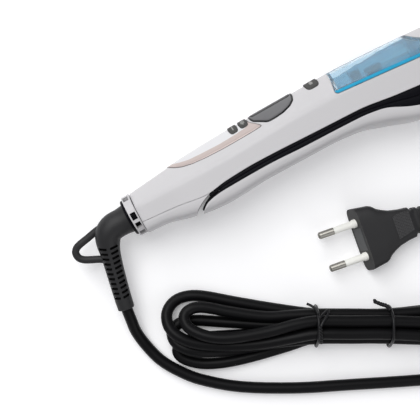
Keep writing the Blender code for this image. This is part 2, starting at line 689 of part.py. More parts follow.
def hank_point(u, v, z):
    """A point of the hank's own frame, in metres."""
    c, s = math.cos(HANK_TURN), math.sin(HANK_TURN)
    return Vector(((HANK_ORIGIN[0] + u * c - v * s) * MM, (HANK_ORIGIN[1] + u * s + v * c) * MM, z * MM))


def plug_point(u, v, z):
    """A point of the plug's own frame, in metres: u away from the front face, v sideways."""
    c, s = math.cos(PLUG_TURN), math.sin(PLUG_TURN)
    return Vector(((PLUG_FRONT[0] + u * c - v * s) * MM, (PLUG_FRONT[1] + u * s + v * c) * MM, z * MM))


def cord_tube(name, route, steps=3):
    """A free stretch of the lead as a bevelled curve."""
    points = smooth_route([Vector(p) * MM for p in route], steps)
    curve = bpy.data.curves.new(name, "CURVE")
    curve.dimensions = "3D"
    curve.bevel_depth = CORD_R * MM
    curve.bevel_resolution = 2
    curve.use_fill_caps = True
    spline = curve.splines.new("POLY")
    spline.points.add(len(points) - 1)
    for knot, point in zip(spline.points, points):
        knot.co = (*point, 1.0)
    curve.materials.append(cord_rubber())
    obj = bpy.data.objects.new(name, curve)
    bpy.context.collection.objects.link(obj)
    return obj


def make_cord():
    """The lead to the hank, the hank's solid, its two ties and the tail to the plug."""
    cord_tube("cord_lead", LEAD_ROUTE)
    cord_tube("cord_tail", TAIL_ROUTE)
    outline = smooth_route([(u, v, 0) for u, v in (*HANK_OUTLINE, HANK_OUTLINE[0])], 2)[:-1]
    rings = [[hank_point(p.x, p.y, z) for p in outline] for z in (0.1, HANK_HEIGHT)]
    new_object("cord_hank", skin(rings), cord_rubber())
    for k, u in enumerate(TIE_PLACES):
        name = "tie_left" if k == 0 else "tie_right"
        inner, outer = (10.3, HANK_HEIGHT + 0.3), (11.6, HANK_HEIGHT + 1.5)
        path = ((-inner[0], 0.1), (-outer[0], 0.1), (-outer[0], outer[1]), (outer[0], outer[1]), (outer[0], 0.1),
                (inner[0], 0.1), (inner[0], inner[1]), (-inner[0], inner[1]))
        new_object(name, skin([[hank_point(end, v, z) for v, z in path] for end in (u - 0.8, u + 0.8)]),
                   black_plastic(), smooth=False)


def plug_ring(u, half_v, half_z, sides=20, power=2.8):
    """A rounded section across the plug."""
    ring = []
    for k in range(sides):
        a = 2 * math.pi * k / sides
        c, s = math.cos(a), math.sin(a)
        ring.append(plug_point(u, half_v * math.copysign(abs(c)**(2 / power), c),
                               PLUG_Z + half_z * math.copysign(abs(s)**(2 / power), s)))
    return ring


def make_plug():
    """Flat two-pin plug: body with waist and tapered neck, pins and their sleeves."""
    sections = ((0.0, 17.0, 6.6), (0.8, 17.6, 7.0), (5.0, 17.6, 7.0), (9.0, 16.2, 7.0), (15.0, 12.9, 7.0),
                (21.0, 12.2, 7.0), (28.0, 12.6, 7.0), (33.0, 11.6, 6.8), (36.0, 7.4, 6.0), (40.0, 6.0, 5.4),
                (51.4, 4.4, 4.4))
    body = new_object("plug_body", skin([plug_ring(*section) for section in sections]), grey_rubber())
    for side, word in ((-1, "left"), (1, "right")):
        centre = plug_point(0, side * PIN_SPACING / 2, PLUG_Z)
        ahead = plug_point(-1, side * PIN_SPACING / 2, PLUG_Z) - centre
        pin = turned(((-8.0, 1.4), (SLEEVE_LENGTH + GAP, 1.4), (SLEEVE_LENGTH + GAP, 2.0), (PIN_LENGTH - 1, 2.0),
                      (PIN_LENGTH, 1.0)), centre, ahead, 16)
        new_object(f"plug_pin_{word}", pin, brass())
        new_object(f"pin_sleeve_{word}", ring_solid(1.5, 2.0, GAP, SLEEVE_LENGTH, centre, ahead, 16),
                   white_plastic())
        cut_with(body, turned(((-8.4, 1.5), (2, 1.5)), centre, ahead, 16))


def clear_scene():
    """Remove whatever objects the file holds."""
    for obj in list(bpy.data.objects):
        bpy.data.objects.remove(obj, do_unlink=True)


def main():
    clear_scene()
    make_upper_shell()
    make_tail_cover()
    make_leaf()
    cut_leaf_for_buttons()
    make_display()
    make_button("minus_button", MINUS_BUTTON)
    make_button("plus_button", PLUS_BUTTON)
    make_button("power_button", POWER_BUTTON)
    make_upper_frame()
    make_upper_head()
    make_steam_parts()
    make_tank()
    make_lower_arm()
    make_lower_plate()
    make_hinge_pin()
    make_arm_lock()
    make_swivel()
    make_boot()
    make_cord()
    make_plug()


main()
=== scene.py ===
"""Looks of a steam hair straightener with a swivel cord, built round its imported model."""

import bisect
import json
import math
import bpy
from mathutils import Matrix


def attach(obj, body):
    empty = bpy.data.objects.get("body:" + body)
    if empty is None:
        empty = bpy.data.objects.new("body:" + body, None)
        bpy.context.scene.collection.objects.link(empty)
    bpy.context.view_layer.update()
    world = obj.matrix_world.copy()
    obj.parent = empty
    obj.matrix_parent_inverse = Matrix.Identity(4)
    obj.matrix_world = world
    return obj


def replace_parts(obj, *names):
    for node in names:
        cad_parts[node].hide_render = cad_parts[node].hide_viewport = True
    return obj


bl_info = {
    "name": "Steam Hair Straightener",
    "version": (1, 0, 0),
    "blender": (4, 5, 0),
    "location": "View3D > Sidebar > Styler",
    "description": "Builds the visible pieces of a steam hair straightener on its packed frame",
    "category": "Add Mesh",
}

import bpy
from mathutils import Matrix, Vector

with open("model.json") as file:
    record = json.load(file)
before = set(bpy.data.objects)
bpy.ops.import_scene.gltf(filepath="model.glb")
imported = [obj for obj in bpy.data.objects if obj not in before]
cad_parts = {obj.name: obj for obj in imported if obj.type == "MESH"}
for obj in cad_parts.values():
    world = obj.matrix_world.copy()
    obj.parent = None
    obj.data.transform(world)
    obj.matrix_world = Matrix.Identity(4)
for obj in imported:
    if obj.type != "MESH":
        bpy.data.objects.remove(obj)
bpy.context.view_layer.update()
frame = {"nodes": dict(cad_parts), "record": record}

# ---------------------------------------------------------------- sizes in millimetres

MM = 0.001
STATION_ORIGIN = 100.0
MID_Z = 17.0
LENGTH = 300.0
GAP = 0.3

# Levels along the handle, as (station from the tail, level towards the crown).
CROWN = ((0, 11.0), (14, 12.5), (35, 14.7), (58, 15.9), (100, 16.9), (122, 17.4), (150, 16.6), (177, 15.2),
         (220, 12.0), (260, 7.5), (290, 1.5), (300, -2.0))
CREASE = ((0, 3.2), (50, 2.7), (100, 4.6), (150, 4.6), (220, 1.5), (300, -8.0))
UPPER_EDGE = ((0, -5.4), (20, -7.0), (36, -9.0), (48, -7.4), (66, -6.5), (105, -7.4), (125, -7.9), (144, -10.2),
              (162, -11.8), (185, -12.6), (300, -12.6))
LOWER_EDGE = ((28, -17.0), (36, -12.4), (45, -11.2), (72, -10.6), (89, -11.2), (122, -11.8), (135, -13.3),
              (149, -19.2), (157, -21.6), (174, -23.0), (300, -23.0))
BOTTOM = ((0, -12.0), (8, -12.2), (24, -15.8), (35, -17.8), (45, -18.4), (70, -17.0), (105, -17.0), (122, -18.2),
          (137, -22.5), (154, -27.8), (174, -29.5), (250, -29.2), (285, -28.0), (300, -25.5))
HALF_WIDTH = ((0, 11.5), (10, 13.0), (25, 15.3), (45, 17.0), (284, 17.0), (295, 15.0), (300, 11.5))
RIDGE_RADIUS = 4.0
SHELL_WALL = 1.8
SWIVEL_BORE_R = 6.4
SEAM = ((36, -11.0), (48, -9.2), (72, -8.6), (105, -9.3), (122, -9.8), (140, -12.6), (157, -16.4), (174, -17.8),
        (300, -17.8))
# Slanted ends of the tail cover and of the lower shell, as (station, level).
COVER_FRONT = ((24.9, -19.0), (26.0, -16.0), (27.9, -14.1), (30.6, -12.2), (33.8, -10.6), (37.9, -9.0))
ARM_TAIL = ((27.6, -20.0), (29.0, -17.6), (31.2, -15.2), (33.8, -13.2), (37.0, -11.6))
PLATE_START, PLATE_END = 187.0, 289.0
PLATE_REACH = 12.5
CHEEK_REACH = (12.1, 13.3)
TAIL_BAND_REACH = (13.7, 15.7)
CHEEK = ((30.2, -15.0), (30.8, -14.1), (33.2, -12.3), (36.2, -10.7), (39.0, -9.7), (42.2, -9.4), (42.2, -12.2),
         (36.6, -12.2), (33.0, -13.8), (30.6, -15.8))

# Controls on the crown, as (station, half length, half reach).
MINUS_BUTTON = (64.0, 2.35, 6.9)
PLUS_BUTTON = (70.0, 2.35, 6.9)
POWER_BUTTON = (111.3, 3.6, 7.0)
BUTTON_PROUD = 0.6
# Half outlines on the crown, as (station, reach).
DISPLAY = ((74.0, 0.0), (74.1, 4.0), (75.0, 6.6), (78.0, 9.0), (81.0, 11.4), (82.6, 11.9), (86.0, 11.9), (90.5, 11.5),
           (95.4, 9.9), (98.6, 7.4), (99.8, 3.8), (99.9, 0.0))
DISPLAY_SPINE = ((75.0, 0.0), (75.4, 2.6), (76.4, 3.4), (97.6, 3.4), (98.6, 2.6), (99.0, 0.0))
LEAF = ((24.3, 0.0), (25.4, 2.6), (27.8, 5.4), (31.5, 7.9), (37.0, 9.8), (44.0, 10.9), (54.0, 11.4), (70.0, 11.6),
        (77.6, 11.5), (76.6, 9.9), (72.9, 5.4), (72.3, 2.4), (72.2, 0.0))
LEAF_PANEL = ((26.6, 0.0), (28.0, 2.2), (31.0, 4.4), (36.0, 6.4), (43.0, 7.4), (54.0, 8.1), (64.0, 7.9), (70.4, 7.4),
              (71.6, 5.2), (71.4, 2.4), (71.3, 0.0))

# Tank in the crown of the head.
TANK_START = 120.0
TANK_END_CROWN, TANK_END_SIDE = 166.0, 181.0
TANK_FLOOR = ((120, 4.4), (169, 0.4), (182, -0.4))
TANK_WALL = 1.4
TANK_RIM = 1.7
VALVE_STATION = 134.0
WATER_LEVEL = 12.4

# Swivel, boot and hanging loop.
BOOT_DROOP = math.radians(8)
BOOT_ROUTE = ((-5.3, 0.0), (-10.0, 0.0), (-15.4, -0.2), (-19.4, -2.2), (-21.9, -6.4), (-23.9, -13.0), (-26.9, -25.0),
              (-29.4, -36.0), (-30.6, -42.0))
BOOT_RADII = (8.0, 7.3, 7.3, 7.1, 6.4, 5.3, 4.8, 4.6, 4.5)
BOOT_SLOTS_FROM, BOOT_SLOT_PITCH = -9.0, 2.6
SLOT_DEPTH = 0.9
LOOP_BAR_R = 2.0
LOOP_ROUTE = ((-119.6, 2.6, 16.0), (-124.1, 2.3, 15.5), (-130.2, 1.1, 15.0), (-135.6, 0.1, 14.7), (-138.3, -0.9, 14.4),
              (-139.9, -3.0, 14.2), (-139.6, -5.9, 14.0), (-137.7, -8.0, 13.8), (-134.0, -10.0, 13.8),
              (-130.2, -11.8, 13.8), (-126.4, -14.4, 14.0))
COLLAR_R, COLLAR_BORE_R = 11.3, 8.6
COLLAR_SLOT_ANGLES = (-93, -64, -33, -4, 56, 87, 116, 147, 176, 236)

# Mains lead, in the part's frame, and its hank, in the hank's own frame.
CORD_R = 3.1
LEAD_ROUTE = ((-130.4, -40.8, 11.3), (-131.6, -48.5, 9.0), (-132.6, -55.5, 5.8), (-131.6, -65, 3.4),
              (-128.5, -75.5, 3.2), (-122.5, -85.5, 3.2), (-114.2, -95.2, 3.2), (-97.5, -108.6, 3.2),
              (-72, -123.2, 3.2), (-46, -135.4, 3.2), (-10.6, -151.7, 3.2), (19.5, -164.3, 3.2),
              (46, -174.6, 3.2), (66, -181, 3.2), (80, -181.5, 3.2), (87.5, -175.5, 3.2))
TAIL_ROUTE = ((94, -143, 3.2), (95.5, -130, 3.2), (93, -117, 3.2), (87.5, -104.5, 3.2), (79.5, -94, 3.2),
              (70, -86, 3.2), (61, -81, 4.0), (53.5, -78.6, 6.4), (47.0, -77.3, 8.2))
HANK_ORIGIN = (-46.3, -98.3)
HANK_TURN = math.radians(-28.5)
HANK_RUNS = (
    # first run in, along the floor, its fold, and back under the others
    (147, 4.5, 3.2), (134, 1.5, 3.2), (118, -3.5, 3.2), (100, -6.5, 3.2), (75, -7, 3.2), (38, -7, 3.2), (18, -7, 3.2),
    (0, -7, 3.2), (-15, -11.6, 3.2), (-33.5, -17, 3.2), (-48.8, -20.3, 3.2), (-61, -20.9, 3.2), (-70.2, -18.6, 3.2),
    (-74, -15, 3.2), (-73, -11.2, 3.2), (-67, -8, 3.2), (-56, -6.4, 3.2), (-40, -5.4, 3.2), (-20, -3.2, 3.2),
    (0, -0.6, 3.2), (18, -0.6, 3.2), (38, -0.6, 3.2), (80, 4, 3.2), (105, 8.5, 4), (122, 10.5, 7), (133, 6.5, 9.4),
    (136, 0, 9.6), (131, -8, 9.5), (118, -11, 9.4), (80, -8, 9.4),
    # second run, over the first
    (38, -6.4, 9.4), (18, -6.4, 9.4), (0, -6.6, 9.2), (-21, -9, 7.4), (-46, -13.4, 5.8), (-62, -13.8, 8.6),
    (-70, -12, 9.2), (-75.5, -8.5, 7.5), (-77, -3.4, 5), (-73, 1, 3.6), (-65, 2.4, 3.2), (-50, 1.6, 3.4),
    (-25, 0.4, 6), (0, 0, 9.4), (18, 0, 9.4), (38, 0, 9.4), (80, 1.5, 9.5), (105, 3.5, 10), (118, 5.5, 11),
    (128, 3, 13), (129, -3, 15.5), (120, -6, 16), (100, -2, 15.8), (70, 2, 15.7),
    # third run, the small loop on top
    (38, 3.4, 15.6), (18, 3.4, 15.6), (0, 3.4, 15.6), (-12, 1.5, 15.9), (-27, -2.4, 16), (-46, -5.4, 16.2),
    (-58, -4.6, 15.8), (-67, -1, 14.2), (-70.3, 3.4, 12.4), (-69.4, 7.4, 11), (-65, 9.9, 10.2), (-58, 9.9, 9.8),
    (-45, 7.4, 9.6), (-27, 5, 9.5), (-14, 5.6, 9.4), (0, 6.4, 9.4), (18, 6.4, 9.4), (38, 6.4, 9.4),
    (65, 8.5, 9.5), (90, 11.5, 9.8), (115, 13.5, 10.8), (132, 11.5, 13), (139.5, 5, 15), (140, -2.5, 15.8),
    (133, -9.5, 16), (120, -12, 16), (100, -9.5, 15.6), (70, -5.5, 15.4),
    # fourth run, the wide outer loop, and out along the floor
    (38, -3.4, 15.4), (18, -3.4, 15.4), (0, -3.4, 15.2), (-14, -6, 13.6), (-30, -9, 12), (-48, -10.2, 11.4),
    (-64, -8.8, 12.4), (-73, -5.4, 12.4), (-78.4, -0.5, 10.6), (-79.9, 6.2, 7.4), (-76.8, 12, 4.8),
    (-70.5, 15.2, 3.5), (-61, 15.6, 3.2), (-43, 12.3, 3.2), (-21, 8.6, 3.2), (0, 5.9, 3.2), (18, 5.8, 3.2),
    (38, 5.8, 3.2), (60, 8, 3.2), (90, 12.5, 3.2), (115, 15.4, 3.2), (134, 17, 3.2), (142, 22, 3.2))
TIE_PLACES = (0.4, 39.6)

# Plug, with its own frame at the middle of its front face.
PLUG_FRONT = (-5.0, -69.0)
PLUG_TURN = math.radians(-9)
PLUG_Z = 7.2
FACE_LEAN = 16.0
PIN_SPACING = 18.6
PIN_LENGTH = 19.0
SLEEVE_LENGTH = 10.0
# Plug sections as (distance from the front face, half width, half thickness).
PLUG_SECTIONS = ((0.0, 17.2, 6.5), (0.3, 17.5, 6.9), (4.0, 17.1, 7.0), (11.0, 16.0, 7.0),
                 (12.6, 15.2, 7.0), (14.6, 13.2, 7.0), (17.5, 11.5, 6.9), (20.8, 10.0, 6.8),
                 (26.0, 8.8, 6.6), (30.4, 8.3, 6.4), (31.2, 7.0, 5.9), (32.4, 6.6, 5.7), (32.8, 7.2, 5.9),
                 (34.6, 7.0, 5.8), (35.0, 6.1, 5.4), (36.6, 6.0, 5.3), (37.0, 6.5, 5.5), (38.8, 6.3, 5.4),
                 (39.2, 5.5, 5.0), (40.8, 5.4, 4.9), (41.2, 5.9, 5.1), (43.0, 5.7, 5.0), (43.4, 5.0, 4.7),
                 (51.0, 4.4, 4.4), (51.4, 4.1, 4.1))


# ---------------------------------------------------------------- settings a user would change

class StylerColours(bpy.types.PropertyGroup):
    """Colours of the styler's finishes."""

    shell: bpy.props.FloatVectorProperty(
        name="Shell", description="White plastic of the handle", subtype="COLOR", size=3,
        default=(0.57, 0.562, 0.57), min=0.0, max=1.0)
    frame_black: bpy.props.FloatVectorProperty(
        name="Frame", description="Black inner frames", subtype="COLOR", size=3,
        default=(0.003, 0.003, 0.005), min=0.0, max=1.0)
    rubber: bpy.props.FloatVectorProperty(
        name="Rubber", description="Cord elbow, loop and plug", subtype="COLOR", size=3,
        default=(0.018, 0.018, 0.019), min=0.0, max=1.0)
    sheath: bpy.props.FloatVectorProperty(
        name="Sheath", description="Sheath of the mains lead", subtype="COLOR", size=3,
        default=(0.004, 0.004, 0.0045), min=0.0, max=1.0)
    tank: bpy.props.FloatVectorProperty(
        name="Tank", description="Clear blue of the water tank", subtype="COLOR", size=3,
        default=(0.74, 0.88, 0.96), min=0.0, max=1.0)
    trim: bpy.props.FloatVectorProperty(
        name="Trim", description="Rose silver band of the leaf", subtype="COLOR", size=3,
        default=(0.52, 0.44, 0.415), min=0.0, max=1.0)


class StylerSizes(bpy.types.PropertyGroup):
    """Sizes that only change the fineness of the looks."""

    rib_count: bpy.props.IntProperty(
        name="Elbow slots", description="Slots along each side of the cord elbow", default=11, min=4, max=16)
    view_distance: bpy.props.FloatProperty(
        name="Camera height", description="Height of the camera over the handle's mid plane", default=0.5,
        min=0.2, max=2.0, unit="LENGTH")
    view_width: bpy.props.FloatProperty(
        name="View width", description="Width that the camera sees at the mid plane", default=0.2211,
        min=0.05, max=1.0, unit="LENGTH")


def colours():
    return bpy.context.scene.styler_colours


def sizes():
    return bpy.context.scene.styler_sizes


# ---------------------------------------------------------------- shapes of the handle

def profile(table, station):
    """Level at a station on the smooth, never overshooting curve through a table's points."""
    station = min(max(station, table[0][0]), table[-1][0])
    spans = [(b[0] - a[0], (b[1] - a[1]) / (b[0] - a[0])) for a, b in zip(table, table[1:])]

    def slope(k):
        if k == 0 or k == len(table) - 1:
            return spans[min(k, len(spans) - 1)][1]
        before, after = spans[k - 1][1], spans[k][1]
        return 0.0 if before * after <= 0 else 2 * before * after / (before + after)

    k = next(i for i in range(len(spans)) if station <= table[i + 1][0])
    width = spans[k][0]
    u = (station - table[k][0]) / width
    start, end = table[k][1], table[k + 1][1]
    rise = (2 * u**3 - 3 * u**2 + 1) * start + (3 * u**2 - 2 * u**3) * end
    return rise + width * ((u**3 - 2 * u**2 + u) * slope(k) + (u**3 - u**2) * slope(k + 1))


def place(station, level, reach):
    """A point of the handle, in metres in the part's frame."""
    return Vector(((station - STATION_ORIGIN) * MM, level * MM, (MID_Z + reach) * MM))


def roof_level(station, reach, inset=0.0):
    """Level of the crown surface, a rounded ridge over straight shoulders."""
    half = profile(HALF_WIDTH, station) - inset
    crown, crease = profile(CROWN, station) - inset, profile(CREASE, station) - 0.4 * inset
    run = math.hypot(half, RIDGE_RADIUS) - RIDGE_RADIUS
    drop = (math.hypot(min(abs(reach), half), RIDGE_RADIUS) - RIDGE_RADIUS) / run
    return crown - (crown - crease) * drop


def upper_outline(station, floor, inset=0.0):
    """(level, reach) points round the upper shell, from one lower edge over the ridge to the other."""
    half = profile(HALF_WIDTH, station) - inset
    points = [(floor, -half)]
    for k in range(25):
        reach = half * (k / 12 - 1)
        points.append((roof_level(station, reach, inset), reach))
    return points + [(floor, half)]


def lower_outline(station, ceiling, inset=0.0):
    """(level, reach) points round the lower shell, a tray with round corners."""
    half, bottom = profile(HALF_WIDTH, station) - inset, profile(BOTTOM, station) + inset
    points = []
    for k in range(33):
        a = math.pi * k / 32
        reach = -half * math.copysign(abs(math.cos(a))**0.55, math.cos(a))
        points.append((ceiling - (ceiling - bottom) * math.sin(a)**0.55, reach))
    return points


def resample(points, count, soften=0.0):
    """Evenly spread points along an outline, its corners softened over a length."""
    lengths = [0.0]
    for a, b in zip(points, points[1:]):
        lengths.append(lengths[-1] + math.dist(a, b))

    def at(distance):
        k = min(max(bisect.bisect_left(lengths, distance), 1), len(points) - 1)
        u = (distance - lengths[k - 1]) / max(lengths[k] - lengths[k - 1], 1e-9)
        return [a + (b - a) * u for a, b in zip(points[k - 1], points[k])]

    spread = []
    for m in range(count + 1):
        middle = lengths[-1] * m / count
        reach = min(soften, middle, lengths[-1] - middle)
        samples = [at(middle + reach * k / 3) for k in range(-3, 4)] if reach > 0 else [at(middle)]
        spread.append(tuple(sum(values) / len(samples) for values in zip(*samples)))
    return spread


def end_rows(start, end, step, radius=1.0, half=15.0):
    """(station, scale) rows of a body whose ends are rounded off and closed."""
    nose = [(0.0, scale) for scale in (0.0, 0.3, 0.6, 0.85)]
    nose += [(radius * (1 - math.cos(a)), 1 - radius / half * (1 - math.sin(a)))
             for a in (0.0, math.pi / 6, math.pi / 3, math.pi / 2)]
    run = end - start - 2 * radius
    count = max(2, round(run / step))
    return ([(start + d, scale) for d, scale in nose]
            + [(start + radius + run * k / count, 1.0) for k in range(1, count)]
            + [(end - d, scale) for d, scale in reversed(nose)])


def body_rings(rows, outline, hub, count=80, soften=1.6):
    """Closed rings along the handle; every row is scaled about a hub level on the mid plane."""
    rings = []
    for station, scale in rows:
        centre = hub(station)
        ring = [place(station, centre + (level - centre) * scale, reach * scale)
                for level, reach in resample(outline(station), count, soften)]
        rings.append(ring + [ring[0]])
    return rings


def upper_body(name, rows, floor, inset=0.0):
    """Solid under the crown, down to a floor level given by a function of the station."""
    return skin(name, body_rings(rows, lambda s: upper_outline(s, floor(s), inset), floor))


def lower_body(name, rows, ceiling, inset=0.0):
    """Tray-shaped solid below a ceiling level given by a function of the station."""
    return skin(name, body_rings(rows, lambda s: lower_outline(s, ceiling(s), inset), ceiling, 120, 2.2))


def bar(name, start, end, low, high, reach, radius=0.15):
    """Solid bar along the handle with rounded edges; low and high are functions of the station."""
    rings = []
    for station, scale in end_rows(start, end, 1.6, 0.3, 8.0):
        half = min(reach, profile(HALF_WIDTH, station) - 0.7)
        bottom, top = low(station), high(station)
        middle = (bottom + top) / 2
        ring = []
        for k, (side, rise) in enumerate(((1, 1), (-1, 1), (-1, -1), (1, -1))):
            for m in range(4):
                a = (k + m / 3) * math.pi / 2
                corner = (side * (half - radius) + radius * math.cos(a),
                          (top - middle - radius) * rise + radius * math.sin(a))
                ring.append(place(station, middle + corner[1] * scale, corner[0] * scale))
        rings.append(ring + [ring[0]])
    return skin(name, rings)


def prism(name, outline, near, far):
    """Solid over a (station, level) outline between two reaches."""
    loop = [*outline, outline[0]]
    return skin(name, [[place(station, level, reach) for station, level in loop] for reach in (near, far)])


def crown_outline(table, grow=0.0, count=120, soften=0.7):
    """Closed (station, reach) outline, mirrored over the ridge from its half and grown by a margin."""
    whole = [*table, *((station, -reach) for station, reach in reversed(table[1:-1])), table[0]]
    points = resample(whole, count, soften)[:-1]
    grown = []
    for k, point in enumerate(points):
        before, after = points[k - 1], points[(k + 1) % len(points)]
        ahead = (after[0] - before[0], after[1] - before[1])
        length = math.hypot(*ahead)
        grown.append((point[0] - ahead[1] / length * grow, point[1] + ahead[0] / length * grow))
    return [*grown, grown[0]]


def rounded(station, half_length, half_reach, grow=0.0, power=4.0, count=56):
    """Closed outline of a rounded rectangle on the crown."""
    points = []
    for k in range(count + 1):
        a = 2 * math.pi * (k % count) / count
        c, s = math.cos(a), math.sin(a)
        points.append((station + (half_length + grow) * math.copysign(abs(c)**(2 / power), c),
                       (half_reach + grow) * math.copysign(abs(s)**(2 / power), s)))
    return points


def crown_patch(name, outline, low, high, edge=0.12):
    """Thin closed piece that follows the crown over an outline, between two offsets from it."""
    centre = (min(p[0] for p in outline) + max(p[0] for p in outline)) / 2
    half = max(p[0] for p in outline) - centre
    shares = [k / 8 for k in range(8)]
    rows = ([(share, high) for share in shares] + [(1 - edge / half, high), (1.0, high - edge), (1.0, low)]
            + [(share, low) for share in reversed(shares)])
    rings = []
    for share, offset in rows:
        spots = [(centre + (station - centre) * share, reach * share) for station, reach in outline]
        rings.append([place(station, roof_level(station, reach) + offset, reach) for station, reach in spots])
    return skin(name, rings)


def lathe(name, outline, start, axis, sides=72):
    """Solid of revolution over a closed (along, radius) outline in millimetres."""
    axis = Vector(axis).normalized()
    side = axis.orthogonal().normalized()
    other = axis.cross(side)
    loop = [*outline, outline[0]]
    rings = []
    for k in range(sides + 1):
        a = 2 * math.pi * (k % sides) / sides
        out = side * math.cos(a) + other * math.sin(a)
        rings.append([Vector(start) + (axis * z + out * r) * MM for z, r in loop])
    return skin(name, rings)


def tube(name, route, radii, sides=24, flat=1.0, nose=0.4):
    """Tube through route points in metres, radii in millimetres; its ends are rounded a little."""
    rings = []
    last = len(route) - 1
    for k, point in enumerate(route):
        ahead = (route[min(k + 1, last)] - route[max(k - 1, 0)]).normalized()
        side = ahead.cross(Vector((0, 0, 1))).normalized()
        over = side.cross(ahead)
        ends = {0: ((0.0, 0.0), (0.0, 1 - nose / radii[k]), (nose, 1.0)),
                last: ((-nose, 1.0), (0.0, 1 - nose / radii[k]), (0.0, 0.0))}
        for shift, scale in ends.get(k, ((0.0, 1.0),)):
            reach = radii[k] * scale * MM
            ring = [point + ahead * shift * MM + (side * math.cos(a) + over * flat * math.sin(a)) * reach
                    for a in (2 * math.pi * m / sides for m in range(sides))]
            rings.append(ring + [ring[0]])
    return skin(name, rings)


# ---------------------------------------------------------------- modelling helpers

def deselect():
    """Leave nothing selected."""
    if bpy.context.object and bpy.context.object.mode != "OBJECT":
        bpy.ops.object.mode_set(mode="OBJECT")
    bpy.ops.object.select_all(action="DESELECT")


def pick(obj):
    """Select and activate one object only."""
    deselect()
    obj.select_set(True)
    bpy.context.view_layer.objects.active = obj
    return obj


def named(name):
    """Name the primitive that was just added."""
    obj = bpy.context.object
    obj.name = obj.data.name = name
    return obj


def skin(name, rings):
    """A grid primitive laid over rings of points, closed up into a solid."""
    last_u, last_v = len(rings) - 1, len(rings[0]) - 1
    deselect()
    bpy.ops.mesh.primitive_grid_add(x_subdivisions=last_u, y_subdivisions=last_v, size=1.0)
    obj = named(name)
    for vertex in obj.data.vertices:
        vertex.co = rings[round((vertex.co.x + 0.5) * last_u)][round((vertex.co.y + 0.5) * last_v)]
    return close_up(obj)


def block(name, centre, axes, halves):
    """A cube primitive given by its centre, its three unit axes and its half sizes in metres."""
    deselect()
    bpy.ops.mesh.primitive_cube_add(size=2.0)
    obj = named(name)
    for vertex in obj.data.vertices:
        vertex.co = centre + sum((axis * half * c for axis, half, c in zip(axes, halves, vertex.co)), Vector())
    return close_up(obj)


def handle_block(name, low, high):
    """A block between two corners given as (station, level, reach)."""
    a, b = place(*low), place(*high)
    return block(name, (a + b) / 2, (Vector((1, 0, 0)), Vector((0, 1, 0)), Vector((0, 0, 1))), (b - a) / 2)


def joined(name, pieces):
    """Several objects made one."""
    deselect()
    for piece in pieces:
        piece.select_set(True)
    bpy.context.view_layer.objects.active = pieces[0]
    bpy.ops.object.join()
    return named(name)


def close_up(obj):
    """Merge doubled points, close the open ends and turn all faces outwards."""
    pick(obj)
    bpy.ops.object.mode_set(mode="EDIT")
    bpy.ops.mesh.select_all(action="SELECT")
    bpy.ops.mesh.remove_doubles(threshold=1e-6)
    bpy.ops.mesh.select_all(action="SELECT")
    bpy.ops.mesh.fill_holes(sides=0)
    bpy.ops.mesh.select_all(action="SELECT")
    bpy.ops.mesh.normals_make_consistent(inside=False)
    bpy.ops.object.mode_set(mode="OBJECT")
    return obj


def modify(obj, kind, **settings):
    """Add a modifier and apply it."""
    pick(obj)
    change = obj.modifiers.new(kind.lower(), kind)
    for key, value in settings.items():
        setattr(change, key, value)
    bpy.ops.object.modifier_apply(modifier=change.name)
    return obj


def carve(obj, tool, operation="DIFFERENCE"):
    """Cut an object with another, which is used up."""
    modify(obj, "BOOLEAN", operation=operation, solver="EXACT", object=tool)
    bpy.data.objects.remove(tool, do_unlink=True)
    return obj


def smooth(obj, angle=32):
    """Shade smooth, with edges sharper than the angle kept."""
    pick(obj)
    bpy.ops.object.shade_smooth_by_angle(angle=math.radians(angle))
    return obj


def ride(obj, body, material):
    """Put a finished piece on its body and material."""
    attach(obj, body)
    obj.data.materials.clear()
    obj.data.materials.append(material)
    return obj


def smooth_route(points, steps):
    """Points on a smooth curve through the given ones, steps to each stretch."""
    points = [Vector(p) for p in points]
    ghost = [points[0] * 2 - points[1], *points, points[-1] * 2 - points[-2]]
    route = []
    for k in range(1, len(ghost) - 2):
        a, b, c, d = ghost[k - 1:k + 3]
        for m in range(steps):
            u = m / steps
            route.append(0.5 * (2 * b + (c - a) * u + (2 * a - 5 * b + 4 * c - d) * u**2
                                + (3 * b - a - 3 * c + d) * u**3))
    return route + [points[-1]]


def hank_point(u, v, z):
    """A point of the hank's own frame, in metres."""
    c, s = math.cos(HANK_TURN), math.sin(HANK_TURN)
    return Vector(((HANK_ORIGIN[0] + u * c - v * s) * MM, (HANK_ORIGIN[1] + u * s + v * c) * MM, z * MM))


def plug_point(u, v, z):
    """A point of the plug's own frame, in metres: u away from the front face, v sideways."""
    c, s = math.cos(PLUG_TURN), math.sin(PLUG_TURN)
    return Vector(((PLUG_FRONT[0] + u * c - v * s) * MM, (PLUG_FRONT[1] + u * s + v * c) * MM, z * MM))


# ---------------------------------------------------------------- materials

def group_socket(group, name, kind, where, value=None):
    """A named input or output of a node group."""
    socket = group.interface.new_socket(name=name, in_out=where, socket_type=kind)
    if value is not None:
        socket.default_value = value
    return socket


